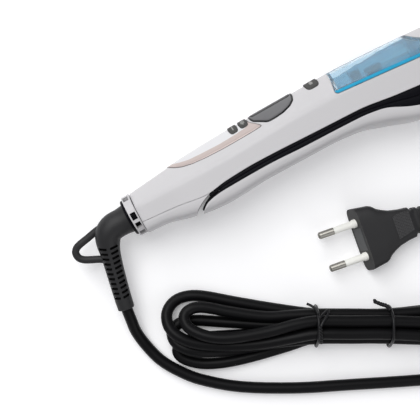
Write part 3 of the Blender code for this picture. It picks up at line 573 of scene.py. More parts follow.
def surface_grain():
    """Node group: fine relief, with slightly uneven colour and gloss, in object coordinates."""
    group = bpy.data.node_groups.get("surface_grain")
    if group:
        return group
    group = bpy.data.node_groups.new("surface_grain", "ShaderNodeTree")
    group_socket(group, "Color", "NodeSocketColor", "INPUT", (0.5, 0.5, 0.5, 1.0))
    group_socket(group, "Unevenness", "NodeSocketFloat", "INPUT", 0.05)
    group_socket(group, "Roughness", "NodeSocketFloat", "INPUT", 0.4)
    group_socket(group, "Gloss change", "NodeSocketFloat", "INPUT", 0.05)
    group_socket(group, "Scale", "NodeSocketFloat", "INPUT", 900.0)
    group_socket(group, "Relief", "NodeSocketFloat", "INPUT", 0.1)
    group_socket(group, "Color", "NodeSocketColor", "OUTPUT")
    group_socket(group, "Roughness", "NodeSocketFloat", "OUTPUT")
    group_socket(group, "Normal", "NodeSocketVector", "OUTPUT")
    nodes, link = group.nodes, group.links.new
    given, result = nodes.new("NodeGroupInput"), nodes.new("NodeGroupOutput")
    where = nodes.new("ShaderNodeTexCoord")
    fine, broad = nodes.new("ShaderNodeTexNoise"), nodes.new("ShaderNodeTexNoise")
    broad.inputs["Scale"].default_value = 38.0
    broad.inputs["Detail"].default_value = 3.0
    fine.inputs["Detail"].default_value = 2.0
    link(where.outputs["Object"], fine.inputs["Vector"])
    link(where.outputs["Object"], broad.inputs["Vector"])
    link(given.outputs["Scale"], fine.inputs["Scale"])
    centred = nodes.new("ShaderNodeMath")
    centred.operation = "SUBTRACT"
    centred.inputs[1].default_value = 0.5
    link(broad.outputs["Fac"], centred.inputs[0])
    shade = nodes.new("ShaderNodeMath")
    shade.operation = "MULTIPLY_ADD"
    shade.inputs[2].default_value = 1.0
    link(centred.outputs[0], shade.inputs[0])
    link(given.outputs["Unevenness"], shade.inputs[1])
    tint = nodes.new("ShaderNodeVectorMath")
    tint.operation = "SCALE"
    link(given.outputs["Color"], tint.inputs[0])
    link(shade.outputs[0], tint.inputs["Scale"])
    gloss = nodes.new("ShaderNodeMath")
    gloss.operation = "MULTIPLY_ADD"
    link(centred.outputs[0], gloss.inputs[0])
    link(given.outputs["Gloss change"], gloss.inputs[1])
    link(given.outputs["Roughness"], gloss.inputs[2])
    bump = nodes.new("ShaderNodeBump")
    bump.inputs["Distance"].default_value = 0.00005
    link(given.outputs["Relief"], bump.inputs["Strength"])
    link(fine.outputs["Fac"], bump.inputs["Height"])
    link(tint.outputs["Vector"], result.inputs["Color"])
    link(gloss.outputs[0], result.inputs["Roughness"])
    link(bump.outputs["Normal"], result.inputs["Normal"])
    return group


def finish(name, color, roughness, unevenness=0.05, gloss_change=0.08, scale=900.0, relief=0.15, metallic=0.0,
           **extra):
    """A Principled material with the surface grain; extra values go on the shader's own sockets."""
    name = f"styler_{name}"
    mat = bpy.data.materials.get(name)
    if mat:
        return mat
    mat = bpy.data.materials.new(name)
    mat.use_nodes = True
    nodes, link = mat.node_tree.nodes, mat.node_tree.links.new
    shader = nodes["Principled BSDF"]
    grain = nodes.new("ShaderNodeGroup")
    grain.node_tree = surface_grain()
    grain.inputs["Color"].default_value = (*color, 1.0)
    grain.inputs["Unevenness"].default_value = unevenness
    grain.inputs["Roughness"].default_value = roughness
    grain.inputs["Gloss change"].default_value = gloss_change
    grain.inputs["Scale"].default_value = scale
    grain.inputs["Relief"].default_value = relief
    shader.inputs["Metallic"].default_value = metallic
    for key, value in extra.items():
        shader.inputs[key.replace("_", " ")].default_value = value
    for output, socket in (("Color", "Base Color"), ("Roughness", "Roughness"), ("Normal", "Normal")):
        link(grain.outputs[output], shader.inputs[socket])
    return mat


def white_shell():
    return finish("white_shell", colours().shell, 0.42, 0.02, 0.06, 700, 0.05, Specular_IOR_Level=0.25,
                  Coat_Weight=0.06, Coat_Roughness=0.1)


def white_inlay():
    return finish("white_inlay", (0.68, 0.68, 0.69), 0.42, 0.02, 0.05, 900, 0.05, Specular_IOR_Level=0.25)


def frame_black():
    return finish("frame_black", colours().frame_black, 0.4, 0.2, 0.1, 1500, 0.2, Specular_IOR_Level=0.08)


def soft_rubber():
    return finish("soft_rubber", colours().rubber, 0.5, 0.16, 0.12, 1600, 0.4, Specular_IOR_Level=0.3)


def grip_rubber():
    return finish("grip_rubber", (0.045, 0.045, 0.046), 0.55, 0.3, 0.12, 1300, 1.0, Specular_IOR_Level=0.3)


def face_rubber():
    return finish("face_rubber", (0.075, 0.078, 0.08), 0.6, 0.8, 0.12, 1400, 1.0, Specular_IOR_Level=0.3)


# Near-black, dull rubber of the elbow's core: painted shade for the bottoms of the slots, darker than the elbow's own
# rubber.
def slot_shade_rubber():
    return finish("slot_shade_rubber", (0.004, 0.004, 0.004), 0.8, 0.2, 0.1, 1500, 0.3, Specular_IOR_Level=0.05)


def cord_sheath():
    return finish("cord_sheath", colours().sheath, 0.42, 0.22, 0.15, 800, 0.2, Specular_IOR_Level=0.13)


def button_rubber():
    return finish("button_rubber", (0.06, 0.059, 0.057), 0.6, 0.35, 0.1, 1100, 1.0, Specular_IOR_Level=0.25)


def button_mark():
    return finish("button_mark", (0.26, 0.26, 0.25), 0.5, 0.1, 0.1, 1500, 0.2)


def smoked_window():
    return finish("smoked_window", (0.13, 0.13, 0.135), 0.16, 0.25, 0.05, 260, 0.02, Specular_IOR_Level=0.35)


def window_rim():
    return finish("window_rim", (0.012, 0.012, 0.013), 0.2, 0.2, 0.05, 300, 0.02, Specular_IOR_Level=0.3)


def rose_silver():
    return finish("rose_silver", colours().trim, 0.3, 0.05, 0.08, 1400, 0.12, 0.25)


# Dark grey laid into the leaf's groove: painted shade of the groove.
def groove_shade_grey():
    return finish("groove_shade_grey", (0.12, 0.11, 0.11), 0.5, 0.1, 0.1, 900, 0.1)


def pin_metal():
    return finish("pin_metal", (0.34, 0.33, 0.3), 0.34, 0.12, 0.12, 1200, 0.2, 1.0)


def sleeve_white():
    return finish("sleeve_white", (0.88, 0.88, 0.83), 0.4, 0.05, 0.08, 900, 0.1, Specular_IOR_Level=0.25)


def plate_ceramic():
    return finish("plate_ceramic", (0.1, 0.085, 0.09), 0.22, 0.1, 0.1, 2200, 0.2, 0.5)


def plain_steel():
    return finish("plain_steel", (0.55, 0.55, 0.57), 0.3, 0.08, 0.1, 1300, 0.3, 1.0)


def contact_brass():
    return finish("contact_brass", (0.7, 0.5, 0.22), 0.28, 0.08, 0.1, 1300, 0.2, 1.0)


def board_green():
    return finish("board_green", (0.02, 0.14, 0.05), 0.45, 0.3, 0.1, 500, 0.3)


def tank_clear():
    return finish("tank_clear", colours().tank, 0.05, 0.04, 0.02, 200, 0.02, Transmission_Weight=0.9, IOR=1.3)


def tank_cyan():
    return finish("tank_cyan", (0.04, 0.5, 0.8), 0.08, 0.1, 0.03, 300, 0.02, Transmission_Weight=0.35, IOR=1.4)


def tank_water():
    return finish("tank_water", (0.36, 0.8, 1.0), 0.06, 0.3, 0.03, 110, 1.0, Transmission_Weight=0.8, IOR=1.15)


def tie_black():
    return finish("tie_black", (0.008, 0.008, 0.009), 0.35, 0.2, 0.1, 1500, 0.3, Specular_IOR_Level=0.3)


CAD_FINISHES = {
    "white_shell": white_shell, "black_frame": frame_black, "grey_rubber": soft_rubber,
    "cord_sheath": cord_sheath, "button_grey": button_rubber, "display_glass": smoked_window,
    "tank_clear": tank_clear, "rose_trim": rose_silver, "plate_ceramic": plate_ceramic, "steel": plain_steel,
    "brass": contact_brass, "board": board_green,
}


def coat_cad_nodes():
    """Give every CAD node the finish of its record slot."""
    slots = {part["node"]: part["material_slot"] for part in frame["record"]["subparts"]}
    for name, node in frame["nodes"].items():
        node.data.materials.clear()
        node.data.materials.append(CAD_FINISHES[slots[name]]())
    frame["nodes"]["tank_seat"].data.materials[0] = white_inlay()
    frame["nodes"]["tank_base"].data.materials[0] = tank_clear()
    frame["nodes"]["tank_water"].data.materials[0] = tank_water()


# ---------------------------------------------------------------- stage and camera

def make_camera():
    """Camera straight over the handle, turned so that the handle rises to the right."""
    camera = bpy.data.objects.new("camera", bpy.data.cameras.new("camera"))
    bpy.context.collection.objects.link(camera)
    bpy.context.scene.camera = camera
    height = sizes().view_distance
    camera.location = place(33.5, -16.7, 0) + Vector((0, 0, height))
    camera.rotation_euler = (0, 0, math.radians(-28.5))
    camera.data.lens = camera.data.sensor_width * height / sizes().view_width
    camera.data.clip_start, camera.data.clip_end = 0.01, 10.0


def make_light(name, location, target, size, power, color=(1, 1, 1)):
    """A square area light aimed at a point."""
    data = bpy.data.lights.new(name, "AREA")
    data.size, data.energy, data.color = size, power, color
    light = bpy.data.objects.new(name, data)
    bpy.context.collection.objects.link(light)
    light.location = location
    light.rotation_euler = (Vector(target) - Vector(location)).to_track_quat("-Z", "Y").to_euler()


def make_stage():
    """White table top, soft light from the crown side and a pale surround."""
    deselect()
    bpy.ops.mesh.primitive_plane_add(size=3.0, location=(0, 0, -0.0002))
    floor = named("table_top")
    mat = bpy.data.materials.new("table_white")
    mat.use_nodes = True
    shader = mat.node_tree.nodes["Principled BSDF"]
    shader.inputs["Base Color"].default_value = (0.95, 0.95, 0.955, 1)
    shader.inputs["Roughness"].default_value = 0.7
    shader.inputs["Specular IOR Level"].default_value = 0.1
    shader.inputs["Emission Color"].default_value = (1, 1, 1, 1)
    shader.inputs["Emission Strength"].default_value = 0.17
    floor.data.materials.append(mat)
    bpy.context.scene.view_settings.view_transform = "Standard"
    world = bpy.data.worlds.new("surround")
    bpy.context.scene.world = world
    world.use_nodes = True
    world.node_tree.nodes["Background"].inputs["Color"].default_value = (0.96, 0.96, 1.0, 1)
    world.node_tree.nodes["Background"].inputs["Strength"].default_value = 0.36
    make_light("key", (-0.1, 0.82, 0.62), (0, -0.03, 0), 0.5, 2.9)
    make_light("overhead", (-0.15, 0.42, 0.95), (0, -0.03, 0), 0.7, 6.0)
    make_light("fill", (0.12, -0.75, 0.55), (0, -0.03, 0), 0.6, 1.3)


# ---------------------------------------------------------------- housings

def level_of(table, change=0.0):
    """A level table as a function of the station."""
    return lambda station: profile(table, station) + change


def tank_front(reach, clearance):
    """Station of the tank's front edge, a shallow arch across the crown."""
    half = profile(HALF_WIDTH, TANK_END_CROWN)
    share = max(-1.0, min(1.0, reach / half))
    return TANK_END_CROWN + (TANK_END_SIDE - TANK_END_CROWN) * share**2 + clearance


def tank_back(reach):
    """Station of the tank's rear edge, which bows towards the tail on both sides."""
    return TANK_START + 1.2 - 3.6 * min(1.0, abs(reach) / 17.0)**2


def tank_plan(name, clearance, low_shift=0.0):
    """Solid over the tank's plan, from a clearance below its floor upwards."""
    rings = []
    for k in range(25):
        reach = 24.0 * (k / 12 - 1)
        front, back = tank_front(reach, clearance), tank_back(reach) - clearance
        low, high = profile(TANK_FLOOR, back) - low_shift, profile(TANK_FLOOR, front) - low_shift
        curve = [place(back + 2.4 * (1 - math.sin(a)), low + 2.4 * (1 - math.cos(a)), reach)
                 for a in (math.radians(18 * step) for step in range(6))]
        rings.append([*curve, place(back, 40.0, reach), place(front, 40.0, reach), place(front, high, reach),
                      curve[0]][::-1])
    return skin(name, rings)


def swivel_bore(name):
    """Tool for the bore at the tail."""
    return lathe(name, ((-1.0, 0.0), (6.0, 0.0), (6.0, SWIVEL_BORE_R), (-1.0, SWIVEL_BORE_R)), place(0, 0, 0),
                 (1, 0, 0))


def make_upper_shell():
    """White upper housing with its pockets for the tank, display, leaf and buttons."""
    edge = level_of(UPPER_EDGE)
    shell = upper_body("crown_housing", end_rows(0, LENGTH, 2.2), edge)
    carve(shell, upper_body("hollow", end_rows(SHELL_WALL, LENGTH - SHELL_WALL, 4.0), level_of(UPPER_EDGE, -2.0),
                            SHELL_WALL))
    carve(shell, tank_plan("tank_room", GAP, GAP))
    for station, half_length, half_reach in (MINUS_BUTTON, PLUS_BUTTON, POWER_BUTTON):
        carve(shell, crown_patch("window", rounded(station, half_length, half_reach, 0.3), -8.0, 4.0))
    carve(shell, crown_patch("display_room", crown_outline(DISPLAY, 0.15), -1.2, 4.0))
    carve(shell, crown_patch("leaf_room", crown_outline(LEAF, 0.42), -0.95, 4.0))
    carve(shell, swivel_bore("bore"))
    carve(shell, handle_block("lock_room", (124.0, -6.2, -18.0), (141.0, -2.2, -14.0)))
    smooth(shell)
    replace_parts(shell, "upper_shell")
    ride(shell, "handle", white_shell())


def make_tail_cover():
    """White cover under the tail, its front edge a rising arc."""
    roof = level_of(UPPER_EDGE, -0.2)
    cover = lower_body("tail_housing", end_rows(0, 40, 1.3), roof)
    carve(cover, lower_body("hollow", end_rows(SHELL_WALL, 44, 2.0), level_of(UPPER_EDGE, 1.0), SHELL_WALL))
    front = [(station, level) for station, level in resample(COVER_FRONT, 30, 1.0)]
    carve(cover, prism("front_cut", [*front, (60.0, -9.0), (60.0, -25.0), (24.9, -25.0)], -20, 20))
    carve(cover, swivel_bore("bore"))
    smooth(cover)
    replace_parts(cover, "tail_cover")
    ride(cover, "handle", white_shell())


def make_lower_shell():
    """White lower housing of the swinging arm, its tail end slanted."""
    shell = lower_body("arm_housing", end_rows(28.9, LENGTH, 2.2), level_of(LOWER_EDGE))
    carve(shell, lower_body("hollow", end_rows(34, LENGTH - SHELL_WALL, 4.0), level_of(LOWER_EDGE, 1.5),
                            SHELL_WALL))
    tail = [(station, level) for station, level in resample(ARM_TAIL, 20, 1.0)]
    carve(shell, prism("tail_cut", [*tail, (37.0, 0.0), (20.0, 0.0), (20.0, -25.0), (27.6, -25.0)], -20, 20))
    smooth(shell)
    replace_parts(shell, "lower_shell")
    ride(shell, "lower_arm", white_shell())


def make_frames():
    """Black inner frames of both arms, with the pockets of the plates and rails."""
    upper = bar("upper_band", 42.6, 297.0, level_of(SEAM, 0.1), level_of(UPPER_EDGE, -0.15), 16.4)
    carve(upper, handle_block("plate_room", (PLATE_START - 1.0, -30, -PLATE_REACH - 0.6),
                              (PLATE_END + 1.0, -2, PLATE_REACH + 0.6)))
    carve(upper, handle_block("strip_room", (PLATE_START + 4, -30, 13.6), (PLATE_END - 4, -2, 15.2)))
    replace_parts(smooth(upper), "upper_frame")
    ride(upper, "handle", frame_black())
    lower = bar("lower_band", 42.8, 297.0, level_of(LOWER_EDGE, 0.15), level_of(SEAM, -0.1), 16.4)
    carve(lower, handle_block("plate_room", (PLATE_START - 1.0, -40, -PLATE_REACH - 0.6),
                              (PLATE_END + 1.0, -5, PLATE_REACH + 0.6)))
    for side in (-1, 1):
        carve(lower, handle_block("rail_room", (PLATE_START, -20.0, side * 14.5 - 0.9),
                                  (PLATE_END, -5, side * 14.5 + 0.9)))
    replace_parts(smooth(lower), "lower_frame")
    ride(lower, "lower_arm", frame_black())


def make_cheeks():
    """Black cheeks of the lower arm that close the view beside its hinge."""
    outline = [(station, level) for station, level in resample([*CHEEK, CHEEK[0]], 60, 0.5)][:-1]
    for side, word in ((-1, "left"), (1, "right")):
        cheek = prism(f"cheek_plate_{word}", outline, *(side * reach for reach in CHEEK_REACH))
        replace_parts(smooth(cheek), f"arm_cheek_{word}")
        ride(cheek, "lower_arm", frame_black())
        top = [(s, profile(UPPER_EDGE, s) - 0.15) for s in (37.0, 38.5, 40.0, 41.5, 42.7)]
        middle = [(s, profile(SEAM, s) + 0.1) for s in (42.7, 41.5, 40.0, 38.5, 37.0)]
        under = [(s, profile(SEAM, s) - 0.5) for s in (37.6, 38.8, 40.0, 41.5, 42.9)]
        low = [(s, profile(LOWER_EDGE, s) + 0.15) for s in (42.9, 41.5, 40.0, 38.8, 37.6)]
        for points, body, piece in ((top + middle, "handle", "upper"), (under + low, "lower_arm", "lower")):
            tail = prism(f"{piece}_band_tail_{word}", points, *(side * reach for reach in TAIL_BAND_REACH))
            ride(smooth(tail), body, frame_black())


# ---------------------------------------------------------------- crown: leaf, display, buttons and tank

def make_leaf():
    """Leaf inlay: a dark grey strip in its groove as painted shade, rose silver band and white panel."""
    # The dark grey strip fills the groove between the leaf and the shell with painted shade.
    shade_strip = crown_patch("leaf_groove_shade", crown_outline(LEAF, 0.36), -0.85, 0.02)
    carve(shade_strip, crown_patch("inside", crown_outline(LEAF, -0.05), -3.0, 3.0))
    trim = crown_patch("leaf_band", crown_outline(LEAF, -0.1), -0.7, 0.14)
    carve(trim, crown_patch("inside", crown_outline(LEAF_PANEL, 0.1), -3.0, 3.0))
    panel = crown_patch("leaf_inlay", crown_outline(LEAF_PANEL), -0.7, 0.1)
    for piece in (shade_strip, trim, panel):
        for station, half_length, half_reach in (MINUS_BUTTON, PLUS_BUTTON):
            carve(piece, crown_patch("window", rounded(station, half_length, half_reach, 0.3), -8.0, 4.0))
        smooth(piece)
    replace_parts(trim, "leaf_trim")
    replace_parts(panel, "leaf_panel")
    ride(shade_strip, "handle", groove_shade_grey())
    ride(trim, "handle", rose_silver())
    ride(panel, "handle", white_inlay())


def make_display():
    """Smoked display window in a glossy black rim."""
    rim = crown_patch("display_rim", crown_outline(DISPLAY), -1.1, 0.28)
    carve(rim, crown_patch("inside", crown_outline(DISPLAY, -0.75), -3.0, 3.0))
    ride(smooth(rim), "handle", window_rim())
    spine = crown_patch("display_spine", crown_outline(DISPLAY_SPINE), 0.22, 0.5)
    ride(smooth(spine), "handle", window_rim())
    window = smooth(crown_patch("display_glass", crown_outline(DISPLAY, -0.8), -1.0, 0.2))
    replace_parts(window, "display_window")
    ride(window, "handle", smoked_window())


def make_button(name, size, marks):
    """A rubber key on the crown with raised marks on both shoulders."""
    station, half_length, half_reach = size
    plan = rounded(station, half_length, half_reach, power=5.5)
    key = crown_patch(f"{name}_cap", plan, -2.0, BUTTON_PROUD, 0.25)
    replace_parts(smooth(key), f"{name}_button")
    ride(key, f"{name}_key", button_rubber())
    bars = []
    for side in (-1, 1):
        for shift, reach, half_s, half_r in marks:
            outline = rounded(station + shift, half_s, half_r, power=6.0, count=20)
            outline = [(s, r + side * reach) for s, r in outline]
            bars.append(crown_patch("bar", outline, BUTTON_PROUD + 0.02, BUTTON_PROUD + 0.12, 0.05))
    marks_piece = smooth(joined(f"{name}_marks", bars))
    ride(marks_piece, f"{name}_key", button_mark())


def tank_body(name, floor, inset=0.0, step=1.6):
    """Crown solid over the tank's length, reaching below the tank's floor so that it can be clipped there."""
    return upper_body(name, end_rows(TANK_START - 4.0, 185.0, step, 0.4), floor, inset)


def make_tank():
    """Clear blue tank: cover, cyan rim plate and the water with its ripples."""
    deep = level_of(TANK_FLOOR, -1.2)
    cover = tank_body("tank_window", deep)
    carve(cover, tank_plan("plan", 0.0, -TANK_RIM - 0.05), "INTERSECT")
    inside = tank_body("inside", level_of(TANK_FLOOR, -3.0), TANK_WALL, 2.0)
    carve(inside, tank_plan("plan", -TANK_WALL, 6.0), "INTERSECT")
    carve(cover, inside)
    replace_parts(smooth(cover), "tank_cover")
    ride(cover, "tank", tank_clear())

    plate = tank_body("tank_rim_plate", deep)
    carve(plate, tank_plan("plan", 0.0, 0.0), "INTERSECT")
    carve(plate, tank_plan("plan", 1.0, -TANK_RIM))
    bore = ((-6.0, 0.0), (8.0, 0.0), (8.0, 3.1), (-6.0, 3.1))
    valve_foot = place(VALVE_STATION, profile(TANK_FLOOR, VALVE_STATION), 0)
    carve(plate, lathe("bore", bore, valve_foot, (0, 1, 0), 48))
    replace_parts(smooth(plate), "tank_base")
    ride(plate, "tank", tank_cyan())

    def water_outline(station):
        points = upper_outline(station, profile(TANK_FLOOR, station) - 1.2, TANK_WALL + 0.25)
        return [(min(level, WATER_LEVEL + 0.35 * math.sin(0.7 * station + 0.3 * reach) * math.cos(0.23 * station)
                     + 0.05 * (station - TANK_START)), reach) for level, reach in points]

    water = skin("tank_fill", body_rings(end_rows(TANK_START - 4.0, 185.0, 1.2, 0.4), water_outline, deep))
    carve(water, tank_plan("plan", -TANK_WALL - 0.3, -TANK_RIM - 0.3), "INTERSECT")
    carve(water, lathe("bore", bore, valve_foot, (0, 1, 0), 48))
    spout = ((-4.6, 0.0), (-4.6, 1.2), (-3.8, 2.1), (2.6, 2.1), (4.2, 1.3), (4.2, 0.0))
    centre = place(143.0, 6.4, 6.0)
    room = [(along * 1.06, radius * 1.06) for along, radius in spout]
    carve(water, lathe("spout_room", room, centre, (1, 0, 0), 32))
    ride(smooth(lathe("tank_filter", spout, centre, (1, 0, 0), 32)), "tank", frame_black())
    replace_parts(smooth(water), "tank_water")
    ride(water, "tank", tank_water())


# ---------------------------------------------------------------- swivel, elbow and loop

def make_collar():
    """Slotted white collar and the black flange that turns behind it."""
    start = place(0, 0, 0)
    inner, outer = COLLAR_BORE_R, COLLAR_R
    collar = lathe("slotted_collar", ((-4.7, inner), (-4.7, outer - 0.3), (-4.4, outer), (-0.6, outer),
                                      (-0.3, outer - 0.3), (-0.3, inner)), start, (1, 0, 0), 96)
    tools = []
    for degrees in COLLAR_SLOT_ANGLES:
        a = math.radians(degrees)
        out, along = Vector((0, math.sin(a), math.cos(a))), Vector((0, math.cos(a), -math.sin(a)))
        tools.append(block("slot", start + Vector((-2.5, 0, 0)) * MM + out * outer * MM,
                           (Vector((1, 0, 0)), along, out), (1.5 * MM, 2.0 * MM, 4.6 * MM)))
    carve(collar, joined("slots", tools))
    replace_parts(smooth(collar), "swivel_collar")
    ride(collar, "handle", white_shell())
    flange = lathe("swivel_flange", ((-6.3, 8.3), (-6.3, 9.3), (-6.0, 9.7), (-5.3, 9.9), (-5.0, 9.6), (-5.0, 8.3)),
                   start, (1, 0, 0), 96)
    ride(smooth(flange), "cord_end", frame_black())


def droop(point):
    """Turn a point about the swivel axis, so that the elbow's leg leans towards the floor."""
    centre = place(0, 0, 0)
    return centre + Matrix.Rotation(BOOT_DROOP, 3, "X") @ (point - centre)


def make_elbow():
    """Rubber elbow with its moulded loop, its rows of slots and the core seen through them, the core near black as
    painted shade in the slots.
    """
    route = smooth_route([droop(place(*spot, 0)) for spot in BOOT_ROUTE], 6)
    radii = [radius[0] for radius in smooth_route([(radius, 0, 0) for radius in BOOT_RADII], 6)]
    elbow = tube("cord_elbow", route, radii, 48)
    tools = []
    for k in range(sizes().rib_count):
        level = BOOT_SLOTS_FROM - BOOT_SLOT_PITCH * k
        m = min(range(1, len(route) - 1), key=lambda n: abs(route[n].y / MM - level))
        ahead = (route[m + 1] - route[m - 1]).normalized()
        centre = route[m] + ahead * ((level * MM - route[m].y) / ahead.y)
        side = ahead.cross(Vector((0, 0, 1))).normalized()
        over = side.cross(ahead)
        for out in (side, -side):
            lean = (out - ahead * 0.2).normalized()
            tools.append(block("slot", centre + lean * 0.52 * radii[m] * MM, (lean, over.cross(lean), over),
                               (0.36 * radii[m] * MM, 0.68 * MM, 8.0 * MM)))
    carve(elbow, joined("slots", tools))
    bar_route = smooth_route([Vector(p) * MM for p in LOOP_ROUTE], 6)
    carve(elbow, tube("loop", bar_route, [LOOP_BAR_R] * len(bar_route), 24, 0.8), "UNION")
    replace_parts(smooth(elbow), "cord_boot")
    ride(elbow, "cord_end", soft_rubber())
    # The core is made darker than the elbow's rubber so that the slots look shaded: painted shade.
    inner = [(point, radius - SLOT_DEPTH) for point, radius in zip(route, radii) if -38.5 < point.y / MM < -6.5]
    core = tube("elbow_core", [point for point, _ in inner], [radius for _, radius in inner], 32)
    ride(smooth(core), "cord_end", slot_shade_rubber())


# ---------------------------------------------------------------- plug and ties

def plug_ring(u, half_v, half_z, sides=96, power=4.5):
    """A rounded section across the plug."""
    ring = []
    for k in range(sides + 1):
        a = 2 * math.pi * (k % sides) / sides
        c, s = math.cos(a), math.sin(a)
        ring.append(plug_point(u, half_v * math.copysign(abs(c)**(2 / power), c),
                               PLUG_Z + half_z * math.copysign(abs(s)**(2 / power), s)))
    return ring


def make_plug():
    """Two-pin plug with its grip patches, pins and sleeves."""
    rings = []
    for (u, half_v, half_z), (next_u, next_v, next_z) in zip(PLUG_SECTIONS, PLUG_SECTIONS[1:]):
        steps = max(1, round((next_u - u) / 1.2))
        rings += [plug_ring(u + (next_u - u) * k / steps, half_v + (next_v - half_v) * k / steps,
                            half_z + (next_z - half_z) * k / steps) for k in range(steps)]
    first, last = PLUG_SECTIONS[0], PLUG_SECTIONS[-1]
    caps = [[plug_ring(u, half_v * share, half_z * share) for share in (0.0, 0.5, 0.85)]
            for u, half_v, half_z in (first, last)]
    body = skin("plug_moulding", [*caps[0], *rings, plug_ring(*last), *reversed(caps[1])])
    ahead = (plug_point(-1, 0, 0) - plug_point(0, 0, 0)).normalized()
    across = (plug_point(0, 1, 0) - plug_point(0, 0, 0)).normalized()
    lean = math.radians(FACE_LEAN)
    outward = ahead * math.cos(lean) + Vector((0, 0, 1)) * math.sin(lean)
    axes = (outward.cross(across), across, outward)
    middle = plug_point(7.0 * math.tan(lean), 0, PLUG_Z)
    carve(body, block("front_cut", middle + outward * 10 * MM, axes, (20 * MM, 30 * MM, 10 * MM)))
    face = block("plug_face", middle + outward * 0.02 * MM, axes, (4.6 * MM, 6.2 * MM, 0.12 * MM))
    ride(face, "cord_end", face_rubber())
    for side, word in ((-1, "left"), (1, "right")):
        foot = plug_point(0, side * PIN_SPACING / 2, PLUG_Z)
        carve(body, lathe("pin_room", ((-8.4, 0.0), (2.0, 0.0), (2.0, 2.5), (-4.1, 2.5), (-4.1, 1.5), (-8.4, 1.5)),
                          foot, ahead, 40))
        pin = lathe(f"plug_pin_metal_{word}", ((-8.0, 0.0), (PIN_LENGTH, 0.0), (PIN_LENGTH, 0.9),
                                               (PIN_LENGTH - 0.25, 1.5), (PIN_LENGTH - 0.9, 1.95),
                                               (SLEEVE_LENGTH + 0.2, 2.0), (SLEEVE_LENGTH + 0.2, 1.4),
                                               (-8.0, 1.4)), foot, ahead, 40)
        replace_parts(smooth(pin), f"plug_pin_{word}")
        ride(pin, "cord_end", pin_metal())
        sleeve = lathe(f"plug_sleeve_{word}", ((-4.0, 1.5), (SLEEVE_LENGTH, 1.5), (SLEEVE_LENGTH, 1.95),
                                               (-0.2, 2.0), (-0.6, 2.35), (-4.0, 2.4)), foot, ahead, 40)
        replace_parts(smooth(sleeve), f"pin_sleeve_{word}")
        ride(sleeve, "cord_end", sleeve_white())
    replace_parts(smooth(body), "plug_body")
    ride(body, "cord_end", soft_rubber())
    for side, word in ((1, "top"), (-1, "under")):
        def surface(u, v, lift):
            return plug_point(u, v, PLUG_Z + side * (6.3 - 0.04 * (u - 22) + lift))

        rows = []
        for k in range(41):
            u = 20.8 + 9.2 * k / 40
            spots = [(u, 6.2 * (m / 20 - 1) + 0.25 * (u - 20.8)) for m in range(41)]
            spots = [(u, min(v, 7.0)) for u, v in spots]
            raised = [surface(u, v, 0.56 + 0.34 * ((k // 4 + m // 3) % 2)) for m, (u, v) in enumerate(spots)]
            sunk = [surface(u, v, 0.2) for u, v in reversed(spots)]
            rows.append([*raised, *sunk, raised[0]])
        pad = smooth(skin(f"plug_grip_{word}", rows), 25)
        ride(pad, "cord_end", grip_rubber())


def helix(route, radius, turns, phase):
    """Points of a strand wound round a route in metres."""
    points = []
    last = len(route) - 1
    for k, point in enumerate(route):
        ahead = (route[min(k + 1, last)] - route[max(k - 1, 0)]).normalized()
        side = ahead.cross(Vector((0, 0, 1))).normalized()
        a = 2 * math.pi * turns * k / last + phase
        points.append(point + (side * math.cos(a) + side.cross(ahead) * math.sin(a)) * radius)
    return points


def make_ties():
    """Two twisted wire ties round the hank."""
    girth = ((-9.7, 0.75), (0.0, 0.75), (8.9, 0.75), (10.3, 3.2), (10.1, 9.0), (8.4, 13.6), (6.0, 18.0), (3.0, 19.6),
             (-3.0, 19.6), (-6.0, 18.2), (-8.6, 13.6), (-10.9, 8.0), (-11.1, 3.2), (-9.7, 0.75))
    twists = {"left": (((1.0, 1.0, 20.2), (1.1, -2.4, 20.2), (1.3, -5.6, 19.4), (1.8, -8.0, 16.4)), 3.5),
              "right": (((39.0, 8.9, 14.0), (37.0, 11.2, 13.2), (34.5, 12.0, 12.8), (31.4, 13.2, 12.6)), 3.5)}
    tails = {"left": (((0.4, 7.2, 17.4), (-1.0, 10.0, 16.0), (-3.4, 11.6, 15.4), (-5.6, 12.6, 15.0)),
                      ((0.6, 5.4, 19.4), (3.6, 8.0, 17.6), (5.6, 9.4, 16.6), (5.0, 6.8, 18.4), (2.6, 3.6, 19.9),
                       (1.2, 1.0, 20.6))),
             "right": (((31.6, 13.2, 12.6), (30.6, 14.4, 12.4), (31.0, 12.4, 12.4)),)}
    for place_u, word in zip(TIE_PLACES, ("left", "right")):
        loop = smooth_route([hank_point(place_u, v, z) for v, z in girth], 5)
        strands = [tube("strand", loop, [0.75] * len(loop), 12, nose=0.2)]
        spine, turns = twists[word]
        spine = smooth_route([hank_point(*spot) for spot in spine], 12)
        strands += [tube("strand", helix(spine, 0.6 * MM, turns, phase), [0.6] * len(spine), 10, nose=0.2)
                    for phase in (0.0, math.pi)]
        for spots in tails[word]:
            route = smooth_route([hank_point(*spot) for spot in spots], 6)
            strands.append(tube("strand", route, [0.7] * len(route), 10, nose=0.2))
        tie = smooth(joined(f"wire_tie_{word}", strands), 50)
        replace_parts(tie, f"tie_{word}")
        ride(tie, "cord_end", tie_black())


# ---------------------------------------------------------------- mains lead

def make_cord():
    """The whole lead: from the elbow, through the tied hank, to the plug."""
    points = smooth_route([Vector(p) * MM for p in LEAD_ROUTE] + [hank_point(*p) for p in HANK_RUNS]
                          + [Vector(p) * MM for p in TAIL_ROUTE], 4)
    lead = smooth(tube("mains_lead", points, [CORD_R] * len(points), 20), 50)
    ride(lead, "cord_end", cord_sheath())
    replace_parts(lead, "cord_lead", "cord_hank", "cord_tail")


# ---------------------------------------------------------------- add-on

class StylerOperator:
    """Shared behaviour of the build steps."""

    bl_options = {"REGISTER", "UNDO"}


